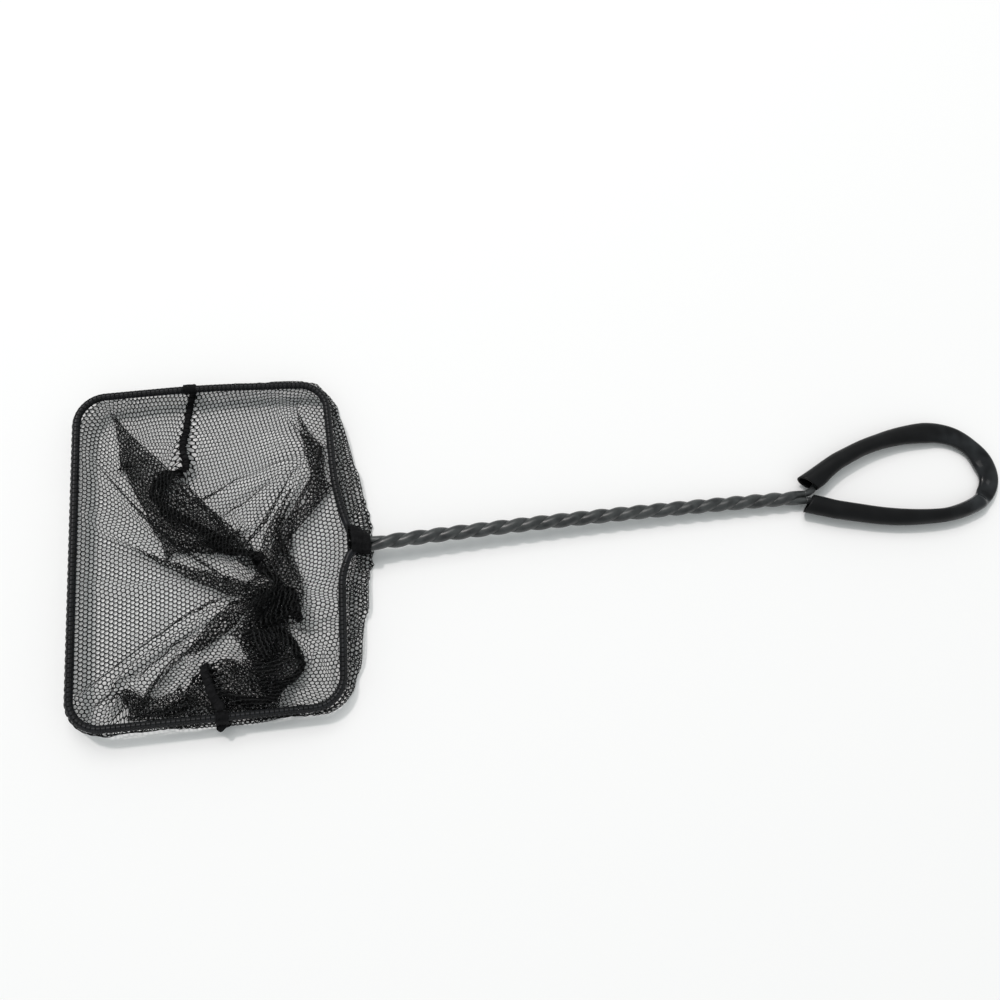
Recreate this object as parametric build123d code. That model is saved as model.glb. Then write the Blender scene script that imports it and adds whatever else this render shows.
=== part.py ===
"""Aquarium fish net, lying on a table with its mouth up.

One coated steel wire makes the whole frame: it is bent to a rounded rectangle for the mouth, its two legs
meet at a neck, twist together as the handle and open again into a hanging loop inside a loose vinyl sleeve.
A bag of two netting panels, sewn along one seam, is hemmed round the wire and lies collapsed below it.

Millimetres. X runs from the mouth's centre along the handle, Y across it, Z up from the table. The frame is
drawn flat in the wire's own plane, with the mouth's centre at its origin, and then laid down on the table.
"""
import os
from math import asin, atan2, cos, degrees, exp, pi, radians, sin, sqrt, tan

from build123d import *

# Coated wire
WIRE_DIAMETER = 2.7
WIRE_SIDES = 7
SLIDING_GAP = 0.05

# Mouth hoop, measured on the wire's centre line
HOOP_ALONG = 92.6
HOOP_ACROSS = 124.3
HOOP_CORNER_RADIUS = 11.0
HOOP_HEIGHT = 8.5
FAR_SIDE_BOW = 1.7
FAR_SIDE_BOW_RADIUS = 400.0

# Neck, where the hoop's two ends turn out towards the handle
NECK_REACH = 12.2
NECK_ACROSS = -4.2
NECK_STRAIGHT = 5.0
UPPER_NECK_LEAD = (1.5, 18.4)
UPPER_NECK_SWEEP = 100.0
UPPER_NECK_BEND = 5.0
LOWER_NECK_LEAD = (2.0, 8.9)
LOWER_NECK_SWEEP = 25.0
LOWER_NECK_BEND = 4.0

# Twisted handle
TWIST_LENGTH = 170.6
TWIST_ANGLE = 1.55
TWIST_BOW = 1.2
TWIST_TURNS = 10.5
TWIST_EASE = 8.0
STRAND_GAP = 0.1
BIARCS_PER_TURN = 4

# Hanging loop: where its top, end and bottom lie from the end of the twist, along and across
LOOP_TOP = (56.0, 22.6)
LOOP_END = (78.2, 4.4)
LOOP_BOTTOM = (52.0, -11.9)
LOOP_UPPER_BEND = 6.0
LOOP_UPPER_ANGLE = 44.0
LOOP_LOWER_BEND = 12.0
LOOP_LOWER_ANGLE = 24.0
WIRE_BUTT_GAP = 0.2

# Grip sleeve: half its width across the wire and half its height, on the legs and at the flattened end
SLEEVE_WALL = 0.6
SLEEVE_SEAT_GAP = 0.12
SLEEVE_LEG_HALF_WIDTH = 3.6
SLEEVE_LEG_HALF_HEIGHT = 3.3
SLEEVE_END_HALF_WIDTH = 4.9
SLEEVE_END_HALF_HEIGHT = 2.4
SLEEVE_END_SPREAD = 0.17
SLEEVE_OUTWARD_SHIFT = 0.4
SLEEVE_MOUTH_INSET = 7.0
SLEEVE_MOUTH_TILT = 18.0
SLEEVE_SIDES = 10
SLEEVE_SPANS = 13
SLEEVE_END_CROWDING = 0.55

# Mouth hem and its stitching
HEM_WALL = 0.45
HEM_SIDES = 6
HEM_TAIL_LENGTH = 2.4
HEM_TAIL_THICKNESS = 0.6
HEM_TAIL_SLOPE = 35.0
HEM_UPPER_START = 14.0
HEM_LOWER_START = 10.0
STITCH_WIDTH = 1.0
STITCH_THICKNESS = 0.35
STITCH_PLACE = 1.5

# Bag, collapsed on the table: how far its floor reaches past the hoop's centre line, and how its sides bow
BAG_SHEET = 0.8
BAG_RIM_GAP = 0.3
BAG_TIP_REACH = 1.8
BAG_HANDLE_REACH = 3.4
BAG_FAR_REACH = 1.6
BAG_NEAR_REACH = 1.0
BAG_HANDLE_BOW = 9.0
BAG_FAR_BOW = 5.6
BAG_NEAR_BOW = 1.0
BAG_TIP_BOW = 0.6
BAG_RIM_BOW = 0.6
BAG_CORNER_RADIUS = 12.0

# Bag seam between the two panels
SEAM_WIDTH = 2.4
SEAM_THICKNESS = 1.4
SEAM_FAR_X = -4.7
SEAM_NEAR_X = 4.6
SEAM_END_WIDTH = 3.6
SEAM_END_WALL = 0.5

# Neck gather, the bunched ends of the hem
GATHER_END_INSET = 0.2
GATHER_LENGTH = 5.1
GATHER_MOUTH_ACROSS = -0.9
GATHER_MOUTH_HALF_WIDTH = 5.8
GATHER_TAIL_HALF_WIDTH = 3.7
GATHER_HALF_HEIGHT = 2.7
GATHER_SIDES = 8

WIRE_RADIUS = WIRE_DIAMETER / 2
STRAND_RADIUS = WIRE_RADIUS + STRAND_GAP / 2
UP = Vector(0, 0, 1)


def heading(angle):
    """Unit vector in the wire's plane, at an angle in degrees from the handle's direction."""
    return Vector(cos(radians(angle)), sin(radians(angle)), 0)


def biarc(start, start_tangent, end, end_tangent):
    """Two arcs that leave start along one tangent, meet smoothly and reach end along the other."""
    span = end - start
    both = start_tangent + end_tangent
    a = 4 - both.dot(both)
    b = 2 * span.dot(both)
    c = -span.dot(span)
    reach = (sqrt(b * b - 4 * a * c) - b) / (2 * a)
    meeting = (start + start_tangent * reach + end - end_tangent * reach) / 2
    first = Edge.make_tangent_arc(start, start_tangent, meeting)
    return [first, Edge.make_tangent_arc(meeting, first % 1, end)]


def smooth_path(stations):
    """A wire of biarcs through (point, tangent) stations."""
    edges = []
    for (start, start_tangent), (end, end_tangent) in zip(stations, stations[1:]):
        edges += biarc(start, start_tangent, end, end_tangent)
    return Wire(edges)


def path_plane(path, distance=0.0):
    """Section plane at a distance along a path: its x points to the right of travel, its y points down."""
    tangent = path.tangent_at(distance, position_mode=PositionMode.LENGTH)
    point = path.position_at(distance, position_mode=PositionMode.LENGTH)
    return Plane(point, x_dir=tangent.cross(UP), z_dir=tangent)


def flats(radius, sides):
    """Regular polygon whose flats lie at radius."""
    return RegularPolygon(radius / cos(pi / sides), sides)


def oval(centre, across, upward, sides):
    """Closed polygon round a centre, inscribed in the ellipse that two half axes give."""
    turns = [2 * pi * (side + 0.5) / sides for side in range(sides)]
    return Wire.make_polygon([centre + across * cos(turn) + upward * sin(turn) for turn in turns])


def wire_along(path, radius=WIRE_RADIUS):
    """A wire's solid along a path."""
    return sweep(path_plane(path) * RegularPolygon(radius, WIRE_SIDES), path=path, clean=False)


# Handle axis: a shallow arc in the wire's plane, from the neck to the end of the twist
NECK = Vector(HOOP_ALONG / 2 + NECK_REACH, NECK_ACROSS, 0)


def axis_point(distance):
    """Point of the handle's axis at a distance along its chord from the neck."""
    rise = 4 * TWIST_BOW * distance * (TWIST_LENGTH - distance) / TWIST_LENGTH**2
    return NECK + heading(TWIST_ANGLE) * distance + heading(TWIST_ANGLE + 90) * rise


def axis_slope(distance):
    """Rise of the handle's axis for each millimetre along its chord."""
    return 4 * TWIST_BOW * (TWIST_LENGTH - 2 * distance) / TWIST_LENGTH**2


def axis_tangent(distance):
    """Direction of the handle's axis at a distance from the neck."""
    along = heading(TWIST_ANGLE) + heading(TWIST_ANGLE + 90) * axis_slope(distance)
    return along.normalized()


def twist_rate(distance):
    """Radians of twist for each millimetre: left-handed, easing in and out at the two ends."""
    full = -2 * pi * TWIST_TURNS / (TWIST_LENGTH - TWIST_EASE)
    return full * min(1.0, distance / TWIST_EASE, (TWIST_LENGTH - distance) / TWIST_EASE)


def twist_phase(distance):
    """Radians that the pair of strands has turned by a distance from the neck."""
    full = -2 * pi * TWIST_TURNS / (TWIST_LENGTH - TWIST_EASE)
    if distance < TWIST_EASE:
        return full * distance**2 / (2 * TWIST_EASE)
    left = TWIST_LENGTH - distance
    if left < TWIST_EASE:
        return full * (TWIST_LENGTH - TWIST_EASE - left**2 / (2 * TWIST_EASE))
    return full * (distance - TWIST_EASE / 2)


def strand_station(distance, first_phase):
    """Point and tangent of a strand's centre line at a distance from the neck."""
    phase = first_phase + twist_phase(distance)
    across = heading(TWIST_ANGLE + 90)
    offset = (across * cos(phase) + UP * sin(phase)) * STRAND_RADIUS
    swing = (UP * cos(phase) - across * sin(phase)) * (STRAND_RADIUS * twist_rate(distance))
    along = heading(TWIST_ANGLE) + across * axis_slope(distance)
    return axis_point(distance) + offset, (along + swing).normalized()


def strand_path(first_phase):
    """Centre line of one strand of the twist."""
    steps = round(TWIST_TURNS * BIARCS_PER_TURN)
    places = [TWIST_LENGTH * step / steps for step in range(steps + 1)]
    return smooth_path([strand_station(place, first_phase) for place in places])


# Hoop, from the upper end of the neck round the mouth to the lower end
UPPER_START, START_TANGENT = strand_station(0.0, 0.0)
LOWER_START, _ = strand_station(0.0, pi)
HALF_ALONG = HOOP_ALONG / 2
HALF_ACROSS = HOOP_ACROSS / 2

upper_turn = UPPER_START - START_TANGENT * NECK_STRAIGHT
upper_lead = Vector(HALF_ALONG + UPPER_NECK_LEAD[0], upper_turn.Y + UPPER_NECK_LEAD[1], 0)
lower_turn = LOWER_START - START_TANGENT * (NECK_STRAIGHT + STRAND_RADIUS)
lower_lead = Vector(HALF_ALONG + LOWER_NECK_LEAD[0], lower_turn.Y - LOWER_NECK_LEAD[1], 0)
far_handle_corner = Vector(HALF_ALONG, HALF_ACROSS, 0)
far_middle = Vector(0, HALF_ACROSS + FAR_SIDE_BOW, 0)
far_tip_corner = Vector(-HALF_ALONG, HALF_ACROSS, 0)
near_tip_corner = Vector(-HALF_ALONG, -HALF_ACROSS, 0)
near_handle_corner = Vector(HALF_ALONG, -HALF_ACROSS, 0)
hoop_bends = [
    (upper_turn, UPPER_NECK_BEND),
    (upper_lead, UPPER_NECK_SWEEP),
    (far_handle_corner, HOOP_CORNER_RADIUS),
    (far_middle, FAR_SIDE_BOW_RADIUS),
    (far_tip_corner, HOOP_CORNER_RADIUS),
    (near_tip_corner, HOOP_CORNER_RADIUS),
    (near_handle_corner, HOOP_CORNER_RADIUS),
    (lower_lead, LOWER_NECK_SWEEP),
    (lower_turn, LOWER_NECK_BEND),
]
hoop_points = [UPPER_START, *[point for point, _ in hoop_bends], LOWER_START]
hoop_path = FilletPolyline(*hoop_points, radius=[radius for _, radius in hoop_bends]).wire()
hem_path = hoop_path.trim(HEM_UPPER_START / hoop_path.length, 1 - HEM_LOWER_START / hoop_path.length)

# Loop: the strands spring apart at the end of the twist and meet again, end to end, at the loop's far end
TWIST_END = axis_point(TWIST_LENGTH)
END_TANGENT = axis_tangent(TWIST_LENGTH)


def loop_leg(strand_phase, side, bend, angle, crown, end_heading):
    """One leg of the loop: a short bend out of the twist, a long arc to its crown, a round to the far end."""
    start, _ = strand_station(TWIST_LENGTH, strand_phase)
    spring_tangent = END_TANGENT.rotate(Axis.Z, side * angle)
    run = bend * tan(radians(angle / 2))
    spring = start + (END_TANGENT + spring_tangent) * run
    crown_point = TWIST_END + Vector(*crown, 0)
    far_point = TWIST_END + Vector(*LOOP_END, 0) + Vector(0, side * WIRE_BUTT_GAP / 2, 0)
    stations = [(start, END_TANGENT), (spring, spring_tangent)]
    stations += [(crown_point, heading(0)), (far_point, heading(end_heading))]
    return smooth_path(stations)


upper_phase = 0.0 if cos(twist_phase(TWIST_LENGTH)) > 0 else pi
upper_leg = loop_leg(upper_phase, 1, LOOP_UPPER_BEND, LOOP_UPPER_ANGLE, LOOP_TOP, -90)
lower_leg = loop_leg(pi - upper_phase, -1, LOOP_LOWER_BEND, LOOP_LOWER_ANGLE, LOOP_BOTTOM, 90)


# Sleeve
def sleeve_station(share):
    """The sleeve's centre, outward and travel directions, half width and half height.

    The share of its length runs from the upper mouth, and outward is away from the loop's middle. The wire
    lies at the bottom of the sleeve, towards the loop's middle.
    """
    upper_run = upper_leg.length - SLEEVE_MOUTH_INSET
    lower_run = lower_leg.length - SLEEVE_MOUTH_INSET
    run = share * (upper_run + lower_run)
    if run < upper_run:
        wire = path_plane(upper_leg, SLEEVE_MOUTH_INSET + run)
        outward = wire.x_dir * -1
        travel = wire.z_dir
    else:
        wire = path_plane(lower_leg, SLEEVE_MOUTH_INSET + upper_run + lower_run - run)
        outward = wire.x_dir
        travel = wire.z_dir * -1
    flattening = exp(-(((share - 0.5) / SLEEVE_END_SPREAD) ** 2))
    half_width = SLEEVE_LEG_HALF_WIDTH + (SLEEVE_END_HALF_WIDTH - SLEEVE_LEG_HALF_WIDTH) * flattening
    half_height = SLEEVE_LEG_HALF_HEIGHT + (SLEEVE_END_HALF_HEIGHT - SLEEVE_LEG_HALF_HEIGHT) * flattening
    lift = half_height - SLEEVE_WALL - SLEEVE_SEAT_GAP - WIRE_RADIUS
    centre = wire.origin + outward * SLEEVE_OUTWARD_SHIFT + UP * lift
    return centre, outward, travel, half_width, half_height


def sleeve_section(share, inset, overrun=0.0):
    """Closed polygon of the sleeve, inset for its bore. Its mouths, at shares 0 and 1, are cut slantwise."""
    centre, outward, travel, half_width, half_height = sleeve_station(share)
    slant = SLEEVE_MOUTH_TILT * (1 - 2 * share) if share in (0.0, 1.0) else 0.0
    slanted = outward.rotate(Axis.Z, slant)
    widen = 1 / cos(radians(slant))
    stretch = 1 / cos(pi / SLEEVE_SIDES)
    across = slanted * ((half_width - inset) * widen * stretch)
    upward = UP * ((half_height - inset) * stretch)
    return oval(centre + travel * overrun, across, upward, SLEEVE_SIDES)


def sleeve_tube(inset, overrun):
    """The sleeve's outside, or with an inset its bore, carried past both mouths by the overrun.

    Sections crowd together at the loop's far end, where the sleeve turns sharply.
    """
    sections = [sleeve_section(0.0, inset, -overrun)]
    for span in range(1, SLEEVE_SPANS):
        place = 2 * span / SLEEVE_SPANS - 1
        share = (1 + place - SLEEVE_END_CROWDING * sin(pi * place) / pi) / 2
        sections.append(sleeve_section(share, inset))
    sections.append(sleeve_section(1.0, inset, overrun))
    return Solid.make_loft(sections, ruled=True)


# Hem
HEM_INNER = WIRE_RADIUS + SLIDING_GAP
HEM_OUTER = HEM_INNER + HEM_WALL


def tail_strip(start, length, thickness, lift):
    """Strip that lies along the hem's tail, sloping outwards and down."""
    centre = Pos(HEM_OUTER + start + length / 2, -lift)
    return Rot(Z=HEM_TAIL_SLOPE) * centre * Rectangle(length, thickness)


def hem_outline(grow=0.0):
    """Outside of the hem's section: the casing round the wire and its tail."""
    tail_start = -HEM_WALL
    tail = tail_strip(tail_start, HEM_TAIL_LENGTH - tail_start + grow, HEM_TAIL_THICKNESS + 2 * grow, 0)
    return Rot(Z=HEM_TAIL_SLOPE) * flats(HEM_OUTER + grow, HEM_SIDES) + tail


def tail_tip():
    """How far out and how far down the hem's tail reaches."""
    length = HEM_OUTER + HEM_TAIL_LENGTH
    slope = radians(HEM_TAIL_SLOPE)
    out = length * cos(slope) - HEM_TAIL_THICKNESS / 2 * sin(slope)
    down = length * sin(slope) + HEM_TAIL_THICKNESS / 2 * cos(slope)
    return out, down


def build_mouth_hem():
    """Netting folded round the wire, with its sewn-down tail outside."""
    place = path_plane(hem_path)
    casing = sweep(place * hem_outline(), path=hem_path, clean=False)
    bore = Rot(Z=HEM_TAIL_SLOPE) * flats(HEM_INNER, HEM_SIDES)
    return casing - sweep(place * bore, path=hem_path, clean=False)


def build_hem_stitching():
    """Sewn line along the top of the hem's tail."""
    lift = (HEM_TAIL_THICKNESS + STITCH_THICKNESS) / 2
    strip = tail_strip(STITCH_PLACE - STITCH_WIDTH / 2, STITCH_WIDTH, STITCH_THICKNESS, lift)
    return sweep(path_plane(hem_path) * strip, path=hem_path, clean=False)


def seam_end_at(x, y, travel):
    """The seam's folded end, wrapped over the hem where the seam meets the mouth."""
    place = Plane(Vector(x, y, 0) - travel * (SEAM_END_WIDTH / 2), x_dir=travel.cross(UP), z_dir=travel)
    inside = STITCH_THICKNESS + SLIDING_GAP
    ring = hem_outline(inside + SEAM_END_WALL) - hem_outline(inside)
    band = extrude(place * ring, SEAM_END_WIDTH)
    return split(band, bisect_by=Plane.XY.offset(SLIDING_GAP - RIM_DOWN), keep=Keep.TOP)


def build_seam_ends():
    """The seam's two ends at the mouth."""
    far_y = HALF_ACROSS + FAR_SIDE_BOW * (1 - abs(SEAM_FAR_X) / HALF_ALONG)
    return seam_end_at(SEAM_FAR_X, far_y, heading(180)) + seam_end_at(SEAM_NEAR_X, -HALF_ACROSS, heading(0))


# How the frame lies: the bag holds the mouth up and the sleeve's round end touches the table
sleeve_end_x = TWIST_END.X + LOOP_END[0] + SLEEVE_OUTWARD_SHIFT + SLEEVE_END_HALF_WIDTH
sleeve_drop = WIRE_RADIUS + SLEEVE_SEAT_GAP + SLEEVE_WALL
lie_arm = sqrt(sleeve_end_x**2 + sleeve_drop**2)
LIE_ANGLE = degrees(asin(HOOP_HEIGHT / lie_arm) - atan2(sleeve_drop, sleeve_end_x))
LAID = Pos(0, 0, HOOP_HEIGHT) * Rot(Y=LIE_ANGLE)


# Bag
def rounded_outline(reaches, bows, radius):
    """Rounded rectangle that reaches past the hoop's near, handle, far and tip sides and bows there."""
    near, handle, far, tip = reaches
    corners = [
        Vector(-HALF_ALONG - tip, -HALF_ACROSS - near, 0),
        Vector(HALF_ALONG + handle, -HALF_ACROSS - near, 0),
        Vector(HALF_ALONG + handle, HALF_ACROSS + far, 0),
        Vector(-HALF_ALONG - tip, HALF_ACROSS + far, 0),
    ]
    sides = []
    for index, bow in enumerate(bows):
        start = corners[index]
        end = corners[(index + 1) % 4]
        middle = (start + end) / 2 + (end - start).normalized().cross(UP) * bow
        sides.append(ThreePointArc(start, middle, end))
    face = make_face(sides)
    return fillet(face.vertices(), radius)


RIM_OUT, TAIL_DOWN = tail_tip()
RIM_DOWN = max(TAIL_DOWN, HEM_OUTER / cos(pi / HEM_SIDES)) + BAG_RIM_GAP
FLOOR_REACHES = (BAG_NEAR_REACH, BAG_HANDLE_REACH, BAG_FAR_REACH, BAG_TIP_REACH)
FLOOR_BOWS = (BAG_NEAR_BOW, BAG_HANDLE_BOW, BAG_FAR_BOW, BAG_TIP_BOW)
RIM_BOWS = (BAG_RIM_BOW, BAG_RIM_BOW, FAR_SIDE_BOW, BAG_RIM_BOW)


def bag_body(inset, floor):
    """The bag's outside, or with an inset its hollow, from its floor up to the rim under the hem."""
    floor_reaches = [reach - inset for reach in FLOOR_REACHES]
    floor_face = rounded_outline(floor_reaches, FLOOR_BOWS, BAG_CORNER_RADIUS - inset)
    rim_face = rounded_outline([RIM_OUT - inset] * 4, RIM_BOWS, HOOP_CORNER_RADIUS + RIM_OUT - inset)
    return loft([Pos(0, 0, floor) * floor_face, LAID * Pos(0, 0, -RIM_DOWN) * rim_face], ruled=True)


SEAM_TURN = degrees(atan2(SEAM_NEAR_X - SEAM_FAR_X, HOOP_ACROSS))
SEAM_LAID = Pos((SEAM_FAR_X + SEAM_NEAR_X) / 2, 0, 0) * Rot(Z=SEAM_TURN)
BEYOND_BAG = 2 * max(HOOP_ALONG, HOOP_ACROSS)


def seam_slab(width):
    """Upright slab that follows the seam across the bag."""
    return SEAM_LAID * Box(width, BEYOND_BAG, BEYOND_BAG)


def tip_side():
    """Everything on the tip side of the seam."""
    return SEAM_LAID * Pos(-BEYOND_BAG / 2, 0, 0) * Box(BEYOND_BAG, BEYOND_BAG, BEYOND_BAG)


def build_bag():
    """The two netting panels and the seam between them."""
    outside = bag_body(0.0, 0.0)
    shell = outside - bag_body(BAG_SHEET, BAG_SHEET)
    ridge = outside - bag_body(SEAM_THICKNESS, SEAM_THICKNESS)
    cloth = shell - seam_slab(SEAM_WIDTH)
    return cloth & tip_side(), cloth - tip_side(), ridge & seam_slab(SEAM_WIDTH - 2 * SLIDING_GAP)


def build_neck_gather():
    """Bunched hem ends bound round the two legs at the neck."""
    end = Vector(NECK.X - GATHER_END_INSET, NECK.Y, 0)
    start = Vector(end.X - GATHER_LENGTH, GATHER_MOUTH_ACROSS, 0)
    sections = []
    for centre, half_width in ((start, GATHER_MOUTH_HALF_WIDTH), (end, GATHER_TAIL_HALF_WIDTH)):
        across = Vector(0, half_width, 0)
        sections.append(oval(centre, across, UP * GATHER_HALF_HEIGHT, GATHER_SIDES))
    bunch = Solid.make_loft(sections, ruled=True)
    upper_leg_end = hoop_path.trim(0, HEM_UPPER_START / hoop_path.length)
    lower_leg_end = hoop_path.trim(1 - HEM_LOWER_START / hoop_path.length, 1)
    for leg_end in (upper_leg_end, lower_leg_end):
        bunch = bunch - wire_along(leg_end, WIRE_RADIUS + SLIDING_GAP)
    return bunch


tip_panel, handle_panel, seam = build_bag()
parts = {
    "hoop_wire": LAID * wire_along(hoop_path),
    "handle_strand_a": LAID * wire_along(strand_path(0.0)),
    "handle_strand_b": LAID * wire_along(strand_path(pi)),
    "loop_wire_upper": LAID * wire_along(upper_leg),
    "loop_wire_lower": LAID * wire_along(lower_leg),
    "grip_sleeve": LAID * (sleeve_tube(0.0, 0.0) - sleeve_tube(SLEEVE_WALL, SLEEVE_WALL)),
    "mouth_hem": LAID * build_mouth_hem(),
    "hem_stitching": LAID * build_hem_stitching(),
    "seam_ends": LAID * build_seam_ends(),
    "neck_gather": LAID * build_neck_gather(),
    "bag_tip_panel": tip_panel,
    "bag_handle_panel": handle_panel,
    "bag_seam": seam,
}

os.makedirs("parts", exist_ok=True)
for name, shape in parts.items():
    export_step(shape, f"parts/{name}.step")
    print(f"{name}: {len(shape.solids())} solid(s), {shape.volume:.1f} mm3")
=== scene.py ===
"""Looks of the aquarium fish net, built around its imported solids.

Sizes are in millimetres, in the wire's own plane with the mouth's centre at its origin, until tipped() lays
them on the table and new_piece() turns them into metres. X runs along the handle, Y across the mouth, Z up.
"""
from math import asin, atan2, ceil, cos, hypot, pi, radians, sin, sqrt, tan

import bpy
import numpy as np
from mathutils import Matrix, Vector


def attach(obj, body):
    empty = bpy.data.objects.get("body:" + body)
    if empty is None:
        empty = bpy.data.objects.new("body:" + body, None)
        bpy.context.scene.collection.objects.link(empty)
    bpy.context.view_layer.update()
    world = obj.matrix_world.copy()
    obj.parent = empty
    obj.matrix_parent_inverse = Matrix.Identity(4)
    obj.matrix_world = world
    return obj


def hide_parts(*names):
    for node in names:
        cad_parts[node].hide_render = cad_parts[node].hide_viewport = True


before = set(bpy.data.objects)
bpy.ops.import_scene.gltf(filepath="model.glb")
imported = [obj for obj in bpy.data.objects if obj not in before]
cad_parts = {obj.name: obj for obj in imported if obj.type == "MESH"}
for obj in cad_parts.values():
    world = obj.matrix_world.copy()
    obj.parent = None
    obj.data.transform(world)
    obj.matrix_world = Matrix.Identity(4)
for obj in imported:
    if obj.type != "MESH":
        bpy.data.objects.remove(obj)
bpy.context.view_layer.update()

MM = 0.001
BODY = "root"

# Wire frame, with the part's own sizes
WIRE_RADIUS = 1.35
HOOP_ALONG = 92.6
HOOP_ACROSS = 124.3
HOOP_CORNER_RADIUS = 11.0
HOOP_HEIGHT = 8.5
FAR_SIDE_BOW = 1.7
FAR_SIDE_BOW_RADIUS = 400.0
NECK = (58.5, -4.2)
NECK_STRAIGHT = 5.0
UPPER_NECK_LEAD = (1.5, 18.4)
UPPER_NECK_SWEEP = 100.0
UPPER_NECK_BEND = 5.0
LOWER_NECK_LEAD = (2.0, 8.9)
LOWER_NECK_SWEEP = 25.0
LOWER_NECK_BEND = 4.0
TWIST_LENGTH = 170.6
TWIST_ANGLE = radians(1.55)
TWIST_BOW = 1.2
TWIST_TURNS = 10.5
TWIST_EASE = 8.0
STRAND_RADIUS = 1.4
LOOP_TOP = (56.0, 22.6)
LOOP_END = (78.2, 4.4)
LOOP_BOTTOM = (52.0, -11.9)
LOOP_UPPER_BEND = 6.0
LOOP_UPPER_ANGLE = radians(44.0)
LOOP_LOWER_BEND = 12.0
LOOP_LOWER_ANGLE = radians(24.0)
WIRE_BUTT_GAP = 0.2
SLEEVE_WALL = 0.6
SLEEVE_SEAT_GAP = 0.12
SLEEVE_OUTWARD_SHIFT = 0.4
SLEEVE_END_HALF_WIDTH = 4.9
HEM_UPPER_START = 14.0
HEM_LOWER_START = 10.0
SEAM_FAR_X = -4.7
SEAM_NEAR_X = 4.6

# Spacing of points along the wire for each piece that follows it, and sides of its round section
WIRE_STEP = 0.7
STRAND_STEP = 0.45
RIM_STEP = 0.5
HEM_STEP = 0.4
SLEEVE_STEP = 0.4
WIRE_SIDES = 20
STRAIGHT_TURN = 1e-6

# Netting: hexagonal holes, measured across and from row to row
MESH_PITCH = 1.65
MESH_ROW = 1.5
THREAD_WIDTH = 0.41
THREAD_THICKNESS = 0.26

# Bag panels, as they are cut
PANEL_WIDTH = 214.0
PANEL_DEPTH = 92.0
PANEL_CORNER = 38.0
PANEL_COLUMNS = 84
PANEL_ROWS = 36
RIM_OUT = 1.86
RIM_DOWN = 2.22

# Where the seam lies once the bag has collapsed: distance along the seam from the far side, then X, Y and Z
SEAM_GUIDES = (
    (38.5, -7.3, 30.8, 4.0),
    (46.0, -15.7, 32.2, 4.5),
    (57.0, -22.4, 23.4, 5.0),
    (66.0, -15.8, 16.9, 5.0),
    (74.0, -8.5, 13.0, 5.0),
    (86.0, 0.5, 6.3, 5.0),
    (97.0, 8.3, -1.4, 5.0),
    (140.0, 22.0, -8.0, 5.0),
    (182.0, 33.0, -34.0, 5.0),
    (222.0, 20.0, -16.0, 6.0),
    (262.0, 31.0, -42.0, 7.0),
    (288.0, 27.0, -56.0, 5.0),
    (312.0, 8.0, -55.0, 5.0),
    (339.0, -2.1, -43.0, 6.0),
    (355.0, 3.5, -56.9, 6.0),
)

# Stretches of the seam, up to and from these lengths, that stay as laid while the rest of the bag settles
SEAM_FAR_KEPT = 100.0
SEAM_NEAR_KEPT = 330.0

# Other guides of the cloth: panel (0 tip, 1 handle), place along its mouth and down it, then X, Y and Z
PANEL_GUIDES = (
    (1, 62.0, 34.0, 40.0, 42.0, 1.5),
    (1, 62.0, 40.0, 45.0, 38.0, 2.5),
    (1, 80.0, 33.0, 41.0, 26.0, 1.5),
    (1, 80.0, 40.0, 46.5, 22.0, 2.5),
    (1, 80.0, 72.0, 24.0, 3.0, 2.5),
    (1, 107.0, 56.0, 9.0, -19.0, 2.5),
    (1, 135.0, 50.0, 5.0, -36.0, 2.5),
    (0, 28.0, 68.0, -16.0, -2.0, 3.0),
    (0, 180.0, 14.0, -29.0, -50.0, 4.0),
    (0, 180.0, 28.0, -30.0, -60.0, 1.5),
    (0, 198.0, 14.0, -11.0, -49.0, 4.0),
    (0, 198.0, 28.0, -12.0, -60.0, 1.5),
    (0, 15.0, 46.0, -21.0, 25.5, 5.0),
    (0, 9.0, 52.0, -17.0, 32.0, 3.0),
    (0, 30.0, 34.0, -33.5, 34.5, 4.0),
    (0, 30.0, 40.0, -33.0, 40.0, 2.5),
)

# Bag wall outside the hoop, a spill on the handle side and else a strip: depth down the panel and reach
SPILL_DEPTH = 10.5
SPILL_REACH = 8.4
SPILL_HALF = 48.0
SPILL_SIDE_MARGIN = 2.0
STRIP_DEPTH = 6.3
STRIP_REACH = 2.2
STRIP_SLANT = 0.6
SPILL_HEIGHT = 0.8
STRIP_COLUMN_STEP = 2

# Cloth simulation at a larger size: the hoop comes down, the bag settles, then its guides let go
SIM_SCALE = 20.0
LIFT = 92.0
LEAST_HANG = 0.3
LOWERING_FRAMES = 50
SETTLING_FRAMES = 25
LOOSE_FRAMES = 25
CLOTH_SPACING = 0.5
TABLE_SPACING = 0.6
TABLE_SIZE = 400
TABLE_FRICTION = 3.0
CLOTH_SETTINGS = {
    "quality": 8,
    "mass": 0.35,
    "air_damping": 2.0,
    "tension_stiffness": 80.0,
    "compression_stiffness": 80.0,
    "shear_stiffness": 40.0,
    "bending_stiffness": 5.0,
    "tension_damping": 10.0,
    "compression_damping": 10.0,
    "shear_damping": 10.0,
    "bending_damping": 0.5,
    "pin_stiffness": 1.0,
}
COLLISION_QUALITY = 3
SELF_FRICTION = 2.0

# Twisted handle: its coat fills the grooves between the two wires to this radius, and rises over each wire
COAT_GROOVE_RADIUS = 2.1
COAT_RISE = 0.7
COAT_ROUNDNESS = 1.2
COAT_EASE = 6.0
COAT_SPLIT_GAP = 0.01
COAT_POINTS = 25
SPLIT_POINTS = 7
PLAIN_HALF_TURN = 2.6

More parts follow.
